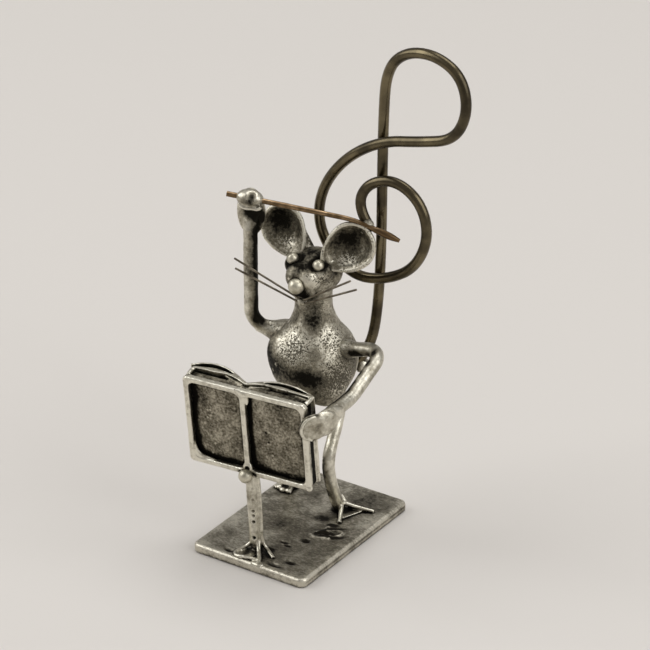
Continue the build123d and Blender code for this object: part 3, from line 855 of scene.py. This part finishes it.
# %% Right arm
hand = Vector((-13.9, 3.0, 69.2)) * MM
grip_turn = math.atan2(0.36, 0.93)
grip_along = Vector((math.cos(grip_turn), math.sin(grip_turn), -0.08))
grip_back = Vector((-math.sin(grip_turn), math.cos(grip_turn), 0))
right_elbow = Vector((hand.x, hand.y, belly.z + 6.6 * MM))
right_shoulder = belly + Vector((-0.5, -0.15, 0.45)) * belly_radius
forearm = cut_off(frame_copy("right_arm"), hand - Vector((0, 0, 2.2)) * MM, (0, 0, 1))
knuckles = ball(
    hand + Vector((0, 0, 0.05)) * MM, MM, stretch=(2.8, 2.1, 1.85), turn=(0, 0.1, grip_turn)
)
strip = ball(
    hand + grip_back * 0.9 * MM - Vector((0, 0, 3.2 * MM)), MM,
    stretch=(3.0, 0.8, 5.2), turn=(0, 0, grip_turn),
)
lip_middle = hand - grip_back * 1.45 * MM - Vector((0, 0, 1.2 * MM))
lip = rod(
    [lip_middle + grip_along * share * MM - Vector((0, 0, drop * MM))
     for share, drop in ((-2.1, -0.5), (-1.5, 0.1), (-0.4, 0.35), (0.8, 0.1), (2.0, 0.35), (2.6, -0.4))],
    [0.45] * 6,
)
to_shoulder = (right_shoulder - right_elbow).normalized()
swell = rod(
    [right_elbow + to_shoulder * step * MM for step in (1.2, 3.2, 4.6, 5.8, 7.5)], (1.4, 1.65, 2.1, 2.8, 3.3)
)
right_arm = fuse("right_arm_rod", [forearm, knuckles, strip, lip, swell], grain=0.15, softening=4)

# %% [markdown]
# The bath stays in the curled palm and, where no cloth was drawn, along the arm's inner side, where
# painted shade darkens it further. Painted shade also darkens the underside of the hand, and the
# shoulder kept the pocks of its casting. A saddle is pressed into the hand where the baton lies.

# %% The right arm's finish
palm_hollow = hand - Vector((0, 0, 3.2 * MM)) + grip_back * 0.2 * MM
brush(right_arm, "bath_and_painted_light", [(palm_hollow + grip_along * 0.3 * MM, (2.4, 2.2, 2.2), 1.6)])
push(right_arm, palm_hollow, (2.2, 2.0, 2.0), grip_back * 0.7)
saddle = hand + (seen_right * 0.35 + towards_camera * 1.9 + seen_up * 0.4) * MM
push(right_arm, saddle, (1.0, 1.6, 1.6), towards_camera * -0.5)
uneven(right_arm, wave=3.0, depth=0.12)
brush(right_arm, "bath_and_painted_light", [
    (palm_hollow + Vector((1.2, 0, -2.0)) * MM, (1.2, 2.0, 3.0), 0.7),
    (palm_hollow + (seen_right * 2.2 - seen_up * 0.8) * MM, (1.6, 1.8, 2.6), 1.3),
    (saddle, (1.3, 1.5, 1.2), 0.9),
    # Painted shade under the hand
    (hand + (towards_camera * 1.9 - seen_up * 1.0) * MM, (3.0, 2.6, 1.1), 0.55),
    (right_elbow + Vector((-1.5, -1.0, 2.0)) * MM, (1.5, 1.5, 5.0), -0.15),
    (right_elbow + to_shoulder * 3 * MM + Vector((0, -1, 1.5)) * MM, (2.5, 2.5, 1.2), 0.35),
])
# The arm's inner side: the bath's black and painted shade together
brush(right_arm, "bath_and_painted_light", [
    (right_elbow + (seen_right * 1.4 + towards_camera * 1.0 + Vector((0, 0, rise))) * MM,
     (2.7, 2.7, 3.4), 1.1)
    for rise in (1.5, 5, 8.5, 12, 15.5, 19)
])
brush(right_arm, "bath_and_painted_light", [(right_elbow + to_shoulder * 5.5 * MM, (4, 4, 4), 0.3)])
brush(right_arm, "pocks", [
    (right_elbow + to_shoulder * 5.5 * MM, (5, 5, 5), 0.9),
    (hand + (towards_camera * 2.0 - seen_up * 0.8) * MM, (2.4, 2.4, 1.2), 0.8),
])
dress(right_arm, ["right_arm"], limb_pewter)

# %% [markdown]
# The left hand was hammered flat into a paddle and laid over the desk's edge. Its rim stands up a
# little on the desk's side, and its palm is dished. Two flat lumps widen it towards the wrist, as the
# hammer spreads the metal, and a rod makes the rim.

# %% Left arm
palm_turn = math.radians(52)
palm_facing = Vector((math.sin(palm_turn), -math.cos(palm_turn), 0))
palm_along = Vector((math.cos(palm_turn), math.sin(palm_turn), 0))
palm = Vector((13.98, -16.16, 35.15)) * MM
left_elbow = belly + Vector((16.1, 1.0, 5.8)) * MM
left_shoulder = belly + Vector((0.55, 0, 0.35)) * belly_radius


def on_rim(turn, width, height, forward):
    """A place round the flat hand, at this turn in degrees, this far in front of its middle."""
    turn = math.radians(turn)
    return palm + palm_facing * forward * MM + (
        palm_along * width * math.cos(turn) + Vector((0, 0, height * math.sin(turn)))
    ) * MM


forearm_left = cut_off(frame_copy("left_arm"), palm + Vector((0, 3.4, 0)) * MM, (0, -1, 0))
paddle = ball(palm, MM, stretch=(3.1, 0.8, 2.95), turn=(0, 0, palm_turn))
thumb_side = ball(
    palm + (palm_along * 2.0 + Vector((0, 0, 0.45))) * MM, MM,
    stretch=(3.2, 0.95, 2.75), turn=(0, 0, math.radians(60)),
)
heel = ball(
    palm + Vector((0.6, 4.0, 0.5)) * MM, MM, stretch=(4.2, 1.2, 2.15), turn=(0, 0, math.radians(78))
)
paddle_rim = rod(
    [on_rim(turn, 2.85, 2.6, 0.55) for turn in (85, 110, 140, 180, 215, 240, 262)],
    (0.25, 0.35, 0.42, 0.42, 0.42, 0.35, 0.25),
)
to_left_shoulder = (left_shoulder - left_elbow).normalized()
left_swell = rod(
    [left_elbow + to_left_shoulder * step * MM for step in (3.5, 5.6, 7.2, 8.6, 10.5)],
    (1.4, 1.5, 1.75, 2.15, 2.4),
)
left_arm = fuse(
    "left_arm_rod", [forearm_left, paddle, thumb_side, heel, paddle_rim, left_swell], grain=0.15, softening=5
)

# %% [markdown]
# The arm's top was rubbed bright. Painted shade darkens the underside of the upper arm and runs along
# the forearm's inner side, and black is left round the paddle's rim.

# %% The left arm's finish
push(left_arm, palm + (palm_facing * 0.7 + palm_along * 0.3) * MM, (1.9, 1.9, 2.2), palm_facing * -0.5)
uneven(left_arm, wave=3.0, depth=0.12)
brush(left_arm, "bath_and_painted_light", [
    # The first two strokes are painted shade under the upper arm
    (left_elbow + to_left_shoulder * 6.5 * MM + (towards_camera * 0.9 - seen_up * 0.7) * MM,
     (3.0, 2.4, 1.3), 1.2),
    (left_elbow + to_left_shoulder * 3 * MM + (towards_camera * 0.9 - seen_up * 0.9) * MM,
     (2.6, 2.0, 1.0), 1.0),
    (palm + (palm_facing * 0.7 + palm_along * 0.4) * MM, (2.0, 2.0, 2.2), 0.35),
    (left_elbow, (3, 3, 3), -0.15),
    (palm, (6, 6, 6), 0.15),
])
# How far along and how far up each place of painted shade on the forearm lies from the elbow
forearm_steps = (
    (-2, -1.2), (-4.5, -2.2), (-7, -3.4), (-9.5, -4.4), (-12, -5.1), (-14.5, -5.5), (-17, -5.6), (-19.5, -5.7)
)
# Painted shade along the forearm's inner side
brush(left_arm, "bath_and_painted_light", [
    (left_elbow + (Vector((0.1, along, up)) + towards_camera * 0.5 - seen_right * 1.0 + seen_up * 1.1) * MM,
     (1.2, 2.4, 1.2), 1.1)
    for along, up in forearm_steps
])
brush(left_arm, "bath_and_painted_light", [(on_rim(turn, 3.1, 2.9, 0.3), (0.9, 0.9, 0.9), 0.5) for turn in range(75, 271, 15)])
brush(left_arm, "bath_and_painted_light", [(left_elbow + to_left_shoulder * 8.5 * MM, (3.5, 3.5, 3.5), 0.35)])
brush(left_arm, "pocks", [(left_elbow + to_left_shoulder * 8 * MM, (4, 4, 4), 0.9)])
dress(left_arm, ["left_arm"], limb_pewter)

# %% [markdown]
# The legs are cast rods that end in bird-like toes with a web between them. The frame's shape is right,
# and softening gives it the look of cast metal. Softening also thins the toes, so rods thicken them
# again, and balls make the blobs of solder on the right foot.

# %% Legs
# Places down the middle of each leg, across, along and above the floor, for the painted shade on its inner
# side
leg_middles = {
    "left": ((3.1, 4.6, 20), (3.3, 4.6, 15), (3.4, 5.2, 11), (3.5, 6.4, 7.5), (3.7, 8.4, 4.0)),
    "right": ((-7.5, 5.5, 20), (-8.2, 5.6, 15), (-8.6, 6.5, 11), (-8.8, 8.5, 7.0), (-9.6, 11.5, 3.0)),
}
foot_blobs = {"left": (), "right": ((-11.2, 8.6), (-10.0, 8.0), (-8.8, 8.3))}
toe_lines = {
    "left": (
        ((4.4, 8.3, 1.8), (5.6, 6.2, 0.7), (6.9, 3.4, 0.25)),
        ((4.4, 8.5, 1.8), (6.8, 9.6, 0.8), (10.4, 11.1, 0.25)),
    ),
    "right": (
        ((-9.7, 11.4, 1.4), (-11, 9.9, 0.7), (-12.4, 8.5, 0.25)),
        ((-9.6, 11.2, 1.4), (-9, 9.5, 0.7), (-8.3, 7.9, 0.25)),
    ),
}
for side in ("left", "right"):
    toes = [rod([over_plate(*point) for point in line], (0.5, 0.5, 0.42)) for line in toe_lines[side]]
    blobs = [ball(over_plate(*place, 0.3), 0.8 * MM, stretch=(1, 0.8, 0.8)) for place in foot_blobs[side]]
    leg = fuse(side + "_leg_rod", [frame_copy(side + "_leg"), *toes, *blobs], grain=0.12, softening=2)
    uneven(leg, wave=2.5, depth=0.12)
    # Painted shade down each leg's inner side
    brush(leg, "bath_and_painted_light", [
        (Vector(point) * MM + (towards_camera * 0.6 - seen_right * 1.2) * MM, (1.5, 1.5, 3.5), 0.9)
        for point in leg_middles[side]
    ])
    heel_across, heel_along, _ = leg_middles[side][-1]
    web = Vector((heel_across * MM, heel_along * MM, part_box(side + "_leg")[0].z))
    brush(leg, "bath_and_painted_light", [
        (web + Vector((outwards * 3, 0, 0.2)) * MM, (4, 4, 0.8), 0.7) for outwards in (-1, 1)
    ])
    dress(leg, [side + "_leg"], limb_pewter)

# %% [markdown]
# The music desk is turned and leans forward. Its own directions make it easy to place things on it:
# across to the mouse's left, up its face, and back from the bars into the book.

# %% The desk's directions
desk_turn = math.radians(5.4)
desk_tilt = math.radians(7.2)
desk_across = Vector((math.cos(desk_turn), math.sin(desk_turn), 0))
level_front = Vector((math.sin(desk_turn), -math.cos(desk_turn), 0))
desk_up = Vector((0, 0, math.cos(desk_tilt))) + level_front * math.sin(desk_tilt)
desk_front = desk_across.cross(desk_up)
desk_middle = Vector((-1.33, -16.0, 29.7)) * MM
half_width = 27.5 / 2
half_height = 20.3 / 2


def on_desk(across, up, back):
    """A place on the music desk, in its own millimetres."""
    return desk_middle + (desk_across * across + desk_up * up - desk_front * back) * MM


print("desk front", desk_front)

# %% [markdown]
# The bars are one casting, round in front and soldered round the book. Bevelled edges, melted together
# with a few drops of solder, give them that soft section, which a bevel alone would leave too crisp.

# %% Desk bars
bar_casting = frame_copy("desk_frame")
finish_modifier(bar_casting, "BEVEL", width=0.5 * MM, segments=4, limit_method="ANGLE")
drops = [
    ball(on_desk(across, up, -0.9), radius * MM, stretch=stretch)
    for across, up, radius, stretch in (
        (-0.45, 1.9 - half_height, 1.15, (1, 0.7, 1.25)),
        (-0.5, 0.5 - half_height, 1.15, (1.1, 0.8, 1)),
        (-0.5, half_height - 0.9, 0.85, (1.8, 0.7, 1)),
        (0.55, half_height - 2.2, 0.5, (1, 0.8, 2.4)),
        (half_width - 0.6, 0.7 - half_height, 0.8, (1, 0.8, 1)),
    )
]
corner_run = rod(
    [on_desk(across - half_width, up - half_height, -0.5)
     for across, up in ((1.2, 4.8), (1.25, 2.9), (2.1, 1.6), (3.6, 1.3), (6.0, 1.15))],
    (0.3, 0.5, 0.65, 0.5, 0.3),
)
bars = fuse("desk_bars", [bar_casting, *drops, corner_run], grain=0.15, softening=3)
push(bars, on_desk(-0.3, 2.0 - half_height, -1.9), (0.7, 0.9, 0.7), desk_front * -0.7)
uneven(bars, wave=3.0, depth=0.15)
brush(bars, "bath_and_painted_light", [
    (on_desk(-0.3, 2.0 - half_height, -1.6), (0.6, 0.8, 0.6), 1.0),
    (on_desk(-0.5, -0.6 - half_height, -0.9), (2.0, 1.2, 1.0), 0.9),
    (on_desk(-2.1, 0.6 - half_height, -1.7), (1.1, 0.9, 1.0), 1.5),
    (on_desk(1.0, 0.6 - half_height, -1.7), (0.9, 1.5, 1.0), 1.5),
    (on_desk(-0.5, 1.1 - half_height, -2.0), (1.3, 0.5, 0.9), 1.2),
    (on_desk(-0.9, 2.0, -1.3), (0.5, 1.0, 6.0), -0.2),
])
brush(bars, "bath_and_painted_light", [(on_desk(half_width, up, -0.1), (0.9, 0.7, 3.5), 0.6) for up in (-8, -4, 0, 4, 8)])
dress(bars, ["desk_frame"], bar_pewter)

# %% [markdown]
# Behind the bars lies the open book. Seen from above it has a wavy leaf, then a thicker cover that
# bulges back on each side of the gutter, with black troughs between them. A block could be carved, but
# sheets follow the real one: each starts as a line along the book's foot, is extruded up, and gets its
# thickness from Solidify.

# %% The book's sheets
def leaf(points, thickness, low, high):
    """A standing sheet: a smooth line of (across, back) points, raised from low to high."""
    line = smooth_line([on_desk(across, low, back) for across, back in points])
    pick(line)
    bpy.ops.object.convert(target="MESH")
    sheet = settle(bpy.context.object)
    bpy.ops.object.mode_set(mode="EDIT")
    bpy.ops.mesh.select_all(action="SELECT")
    bpy.ops.mesh.extrude_region_move(TRANSFORM_OT_translate={"value": desk_up * (high - low) * MM})
    bpy.ops.object.mode_set(mode="OBJECT")
    finish_modifier(sheet, "SOLIDIFY", thickness=thickness * MM, offset=0)
    return sheet


foot_line = 0.1 - half_height
leaf_lines = (
    ((-13.4, 2.6), (-11.0, 3.0), (-8.3, 2.85), (-6.0, 3.35), (-3.0, 2.6), (-0.7, 1.5)),
    ((-0.7, 1.5), (1.5, 2.7), (5.0, 2.7), (9.0, 2.65), (13.3, 2.4)),
)
cover_lines = (
    ((-14.2, 3.2), (-12.4, 4.8), (-8.5, 5.5), (-4.5, 4.0), (-0.6, 1.6)),
    ((-0.6, 1.6), (2.2, 3.9), (7.0, 4.7), (11.5, 3.8), (13.7, 2.6)),
)
stuffing_lines = (
    ((-13.0, 3.1), (-10.0, 3.9), (-6.0, 3.6), (-1.5, 1.4)),
    ((-0.1, 1.4), (3.0, 2.9), (7.0, 3.5), (12.8, 2.1)),
)

# %% [markdown]
# The bright edges and the grainy inside are two finishes, so the book is two pieces. The inside is a
# block with two pillowed panels, and dark stuffing stands between the leaves and the covers.

# %% Open book
bpy.ops.object.select_all(action="DESELECT")
bpy.ops.mesh.primitive_cube_add(size=1)
block = bpy.context.object
block.scale = Vector((26.4, 2.1, 19.3)) * MM
block.rotation_euler = Matrix((desk_across, -desk_front, desk_up)).transposed().to_euler()
block.location = on_desk(0, -0.25, 1.05)
settle(block)
panels = [
    ball(on_desk(across, 0, 0.25), MM, stretch=(6.6, 0.75, 9.4), turn=(desk_tilt, 0, desk_turn))
    for across in (-7.0, 6.2)
]
leaves = [leaf(line, 0.75, foot_line, half_height) for line in leaf_lines]
covers = [leaf(line, 0.5, foot_line, half_height - 0.1) for line in cover_lines]
stuffing = [leaf(line, 1.2, foot_line + 0.3, half_height - 0.45) for line in stuffing_lines]
corner_line = ((13.0, 0.1), (13.3, 1.4), (13.2, 2.6))
corner_lumps = [
    rod([on_desk(side * across, half_height - 0.5, back) for across, back in corner_line], [0.5] * 3)
    for side in (-1, 1)
]
book_edges = fuse("book_edges", [*leaves, *covers, *corner_lumps], grain=0.15, softening=2)
book = fuse("book_block", [block, *panels, *stuffing], grain=0.16, softening=2)
uneven(book, wave=3.0, depth=0.12)
uneven(book_edges, wave=2.0, depth=0.12)

# %% [markdown]
# The bath ran into the troughs. Each panel is darker along its left side and its foot, and a painted
# shadow of the top bar lies along its top. Two pits in the right panel are black too.

# %% The book's finish
trough = [on_desk(across, half_height - 0.9, 1.2) for across in (-12, -9, -6, -3, 1.5, 4.5, 7.5, 10.5, 13)]
stuffing_top = [on_desk(across, half_height - 0.5, back) for line in stuffing_lines for across, back in line]
brush(book, "bath_and_painted_light", [(place, (2.2, 1.2, 0.8), 0.25) for place in trough])
brush(book, "bath_and_painted_light", [(place, (3.5, 1.0, 0.8), -0.5) for place in stuffing_top])
panel_foot = 1.9 - half_height
for left, right, shade_width in ((1.35 - half_width, -1.15, 1.5), (0.15, half_width - 1.35, 0.8)):
    brush(book, "bath_and_painted_light", [
        (on_desk(left + 0.5, up, 0), (shade_width, 1.2, 3.0), 0.75) for up in (-7, -4, -1, 2, 5, 8)
    ])
    brush(book, "bath_and_painted_light", [(on_desk(left + 1.6, panel_foot, 0), (2.2, 1.2, 2.2), 0.7)])
    brush(book, "bath_and_painted_light", [
        (on_desk(across, panel_foot, 0), (2.4, 1.2, 1.1), 0.5) for across in (left + 4, left + 7, right - 2)
    ])
brush(book, "bath_and_painted_light", [
    (on_desk(side * 13.2, up, 1.2), (1.2, 1.6, 3.5), 1.0) for side in (-1, 1) for up in (-9, -5, -1, 3, 7)
])
# A painted shadow of the top bar along the top of both panels
brush(book, "bath_and_painted_light", [
    (on_desk(across, half_height - 1.4, 0), (2.4, 1.2, 0.8), 0.6) for across in range(-12, 13, 2)
])
brush(book, "bath_and_painted_light", [(on_desk(across, 0.8, 0), (4.5, 2.0, 6.5), -0.16) for across in (-6.0, 6.8)])
pits = ((4.1, 0.9), (4.5, -1.3))
brush(book, "bath_and_painted_light", [(on_desk(*pit, 0), (0.45, 0.8, 0.5), 1.5) for pit in pits])
dress(book, ["open_book"], panel_pewter)
dress(book_edges, ["open_book"], bar_pewter)

# %% [markdown]
# The post is a cast strip with a raised ridge down its right side. Its foot spreads into a dished lobe
# with a raised rim on the left and one long toe on the right, and a run of metal reaches the plate's
# edge. The frame's post is cut above its foot, and rods and flat balls are melted on for the rest.

# %% Post
post_strip = cut_off(frame_copy("stand_post"), over_plate(0, 0, 1.6), (0, 0, -1))
lobe = ball(over_plate(-1.9, -16.4, 0.05), MM, stretch=(1.9, 2.6, 0.4), turn=(0, 0, math.radians(-12)))
ankle = ball(over_plate(-1.0, -14.3, 0.9), MM, stretch=(1.3, 1.0, 1.4))
run_down = ball(over_plate(2.0, -18.5, -0.1), MM, stretch=(1.5, 0.9, 0.5))
foot_ridge_lines = (
    (((-0.1, -14.2, 4.6), (0.1, -14.0, 2.4), (0.9, -13.9, 0.9), (2.2, -14.4, 0.35), (3.7, -15.3, 0.1)), 0.46),
    (((-0.7, -14.2, 3.0), (-0.2, -14.9, 1.2), (0.9, -16.3, 0.45), (2.1, -17.9, 0.3), (2.5, -19.2, -0.3)),
     0.5),
    (((-1.6, -14.4, 2.4), (-2.6, -15.0, 0.9), (-3.7, -16.6, 0.35), (-4.0, -17.9, 0.2), (-3.0, -18.7, 0.2),
      (-1.6, -18.4, 0.3), (0.2, -18.0, 0.3), (1.9, -17.8, 0.3)), 0.42),
)
foot_ridges = [
    rod([over_plate(*point) for point in line], [radius] * len(line)) for line, radius in foot_ridge_lines
]
post_edge = rod(
    [on_desk(0.85, -half_height - 0.4, 0.1), on_desk(0.9, -half_height - 6.0, 0.55),
     over_plate(0.05, -14.2, 4.6)],
    [0.5] * 3,
)
post = fuse("post", [post_strip, lobe, ankle, run_down, *foot_ridges, post_edge], grain=0.12, softening=2)
uneven(post, wave=2.0, depth=0.12)
push(post, over_plate(-2.0, -16.6, 0.6), (1.2, 1.8, 0.8), (0, 0, -0.35))
brush(post, "bath_and_painted_light", [
    (over_plate(-2.0, -16.6, 0.3), (1.3, 1.9, 0.8), 0.6),
    (over_plate(-1.0, -15.0, 1.2), (1.5, 1.0, 1.5), 0.35),
    (over_plate(1.2, -14.9, 0.6), (1.0, 1.2, 1.0), 0.9),
    (over_plate(-0.6, -18.9, -0.4), (1.0, 0.8, 0.8), 0.9),
])
for rise in (3.2, 6.9, 8.3, 9.4, 12.0, 14.5):
    pit = over_plate(-1.0, -15.1 - rise * 0.08, rise)
    push(post, pit, (0.5, 1.0, 0.5), (0, 0.5, 0))
    brush(post, "bath_and_painted_light", [(pit, (0.5, 1.0, 0.5), 1.2)])
dress(post, ["stand_post"], limb_pewter)

# %% [markdown]
# A drop of pewter covers the joint where the post meets the desk. It is made as the nose and the eyes are.

# %% Knob
bead("knob", "stand_knob", 1.2)

# %% [markdown]
# The tail is one length of brass wire. Its points are those of the frame's wire, as shares of the
# clef's height, and a curve with smooth joints runs between them as a bent wire does.

# %% Tail
clef_height = 72.0
clef_foot = Vector((7.9, 17.0, 31.0))
spiral_step = 2.3
tail_radius = 1.07
tail_root = belly / MM + Vector((0.3, 0.38, -0.6)) * (belly_radius / MM)
# Each point's place across, its steps towards the front, and its height
clef_shares = (
    (-0.040, 0.5, 0.028), (-0.002, 0, 0.208), (0.001, 0, 0.792), (0.014, 0, 0.921),
    (0.077, 0.12, 0.982), (0.173, 0.33, 0.995), (0.258, 0.58, 0.955), (0.283, 0.79, 0.862),
    (0.244, 0.92, 0.775), (0.140, 1, 0.746), (0.022, 1, 0.721), (-0.089, 1, 0.651),
    (-0.168, 1, 0.550), (-0.192, 1, 0.442), (-0.151, 1, 0.350), (-0.065, 1, 0.292),
    (0.038, 1, 0.311), (0.129, 1, 0.369), (0.172, 1, 0.472), (0.146, 1, 0.569),
    (0.063, 1, 0.617), (-0.021, 1.29, 0.590), (-0.049, 1.54, 0.518), (-0.006, 1.83, 0.474),
)
clef_points = [
    clef_foot + Vector((across * clef_height, -step * spiral_step, up * clef_height))
    for across, step, up in clef_shares
]
tail_points = [point * MM for point in [tail_root, *clef_points]]
tail = name_piece(rod(tail_points, [tail_radius] * len(tail_points)), "tail")
dress(tail, ["tail_clef"], brass_wire)

# %% [markdown]
# The baton is a fine copper rod that lies on the left ear's rim. Past the solder bead it is filed to a
# longer, spindle-shaped point. A rod with its own radius at each point gives that in one go. Painted
# shade darkens its underside and the underside of its point.

# %% Baton
left_ear_middle = skull + Vector((ear_out, ear_back, ear_rise)) * MM
ear_top = Vector((
    -math.sin(left_ear_turn) * math.sin(ear_tip_lift),
    math.cos(left_ear_turn) * math.sin(ear_tip_lift),
    math.cos(ear_tip_lift),
))
baton_rest = left_ear_middle + ear_top * (ear_radius + 0.6 * MM)
baton_along = (baton_rest - hand).normalized()
baton_end = baton_rest + baton_along * 7.0 * MM - Vector((0, 0, 1.9)) * MM
point_along = (baton_end - baton_rest).normalized()
baton_points = [
    hand - baton_along * 4.7 * MM,
    hand,
    baton_rest - baton_along * 6 * MM,
    baton_rest,
    *(baton_rest + point_along * step * MM for step in (3.4, 5.0, 7.0)),
    *(baton_end + point_along * step * MM for step in (1.2, 2.5)),
]
baton_radii = (0.55, 0.55, 0.52, 0.48, 0.42, 0.66, 0.78, 0.66, 0.36)
baton = name_piece(rod(baton_points, baton_radii), "baton_rod")
# Painted shade on the underside of the point
brush(baton, "bath_and_painted_light", [(baton_points[-3] - seen_up * 0.4 * MM, (5.0, 5.0, 1.6), 0.55)])
# Painted shade along the rod's underside
brush(baton, "bath_and_painted_light", [(point - Vector((0, 0, 0.7)) * MM, (9, 9, 0.8), 0.35) for point in baton_points[:-3]])
dress(baton, ["baton"], copper_rod)

# %% [markdown]
# Beads of solder join the wires to the castings: baton to ear and clef, whiskers to chin, tail to back,
# post to plate. The frame's beads are softened and pushed against what they hold, and one more ball
# fills the gap at the tail's foot.

# %% Solder beads
tail_fill = ball(tail_points[1] - Vector((0.65, 0.65, 0.5)) * MM, 1.5 * MM)
beads = fuse("solder", [frame_copy("solder_beads"), tail_fill], grain=0.12, softening=2)
push(beads, over_plate(-1.8, -18.2, 1.2), (3, 3, 3), (0, 0.2, -1.3))
whisker_shift = (seen_right * 1.25 - seen_up * 0.6) * MM
whisker_seat = nose_middle + Vector((0, 0.6, -2.6)) * MM
push(beads, whisker_seat, (8, 8, 8), (whisker_shift - towards_camera * 0.5 * MM) / MM)
push(beads, baton_rest, (9, 9, 9), seen_right * 0.9 - seen_up * 0.9 - towards_camera * 0.3)
brush(beads, "bath_and_painted_light", [(whisker_seat, (4, 4, 4), 0.45), (baton_rest, (5, 5, 5), 0.3)])
brush(beads, "pocks", [(baton_rest, (5, 5, 5), 0.8)])
dress(beads, ["solder_beads"], limb_pewter)

# %% [markdown]
# The whiskers are two steel wires, bent where they cross under the chin. Drawn again as rods, they
# cross a little nearer the mouse's left cheek than in the frame, as the real ones do.

# %% Whiskers
whisker_radius = 0.21
bend_reach = 1.5
right_tip_drop = 2.4
for node, lengthened in (("upper_whisker", 0.0), ("lower_whisker", 1.6)):
    low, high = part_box(node)
    crossing = Vector((whisker_seat.x, whisker_seat.y, low.z)) + whisker_shift
    left_tip = Vector((high.x, low.y, high.z))
    left_tip += (left_tip - crossing).normalized() * lengthened * MM
    right_tip = Vector((low.x, low.y, high.z - right_tip_drop * MM))
    bend = [crossing + (tip - crossing).normalized() * bend_reach * MM for tip in (right_tip, left_tip)]
    whisker = rod([right_tip, bend[0], crossing, bend[1], left_tip], [whisker_radius] * 5)
    dress(name_piece(whisker, node + "_wire"), [node], whisker_steel)

# %% [markdown]
# The floor is a wide sheet of pale, matt studio paper. It takes the figurine's soft shadow, and it is
# wide enough that no edge of it shows or is mirrored in the metal.

# %% Floor
bpy.ops.mesh.primitive_plane_add(size=8)
floor = bpy.context.object
floor.name = "floor"
paper, _, paper_shader = empty_material("studio_paper")
paper_shader.inputs["Base Color"].default_value = linear("#d6d2cd")
paper_shader.inputs["Roughness"].default_value = 0.9
floor.data.materials.append(paper)
print("Floor in metres:", tuple(floor.dimensions))


# %% [markdown]
# Metal shows what stands round it more than its own colour. Three square softboxes give it long, soft
# highlights, and a pale, even sky fills the rest, as the walls of a light tent do.

# %% Lights
def softbox(name, place, size, power):
    """A square lamp of this size in metres and power in watts that faces the figurine."""
    place = Vector(place)
    bpy.ops.object.light_add(
        type="AREA", location=place, rotation=(place - aim).to_track_quat("Z", "Y").to_euler()
    )
    lamp = bpy.context.object
    lamp.name = name
    lamp.data.size = size
    lamp.data.energy = power


softbox("left_softbox", (-0.9, -0.5, 0.8), size=1.0, power=7.8)
softbox("right_softbox", (1.0, 0.1, 0.7), size=1.0, power=7.0)
softbox("top_softbox", (0.0, 0.4, 1.3), size=0.8, power=6.0)

world = bpy.data.worlds.new("studio")
bpy.context.scene.world = world
world.use_nodes = True
sky = world.node_tree.nodes["Background"]
sky.inputs["Color"].default_value = linear("#dad6d2")
sky.inputs["Strength"].default_value = 0.45
print("Lamps:", len(bpy.data.lights))
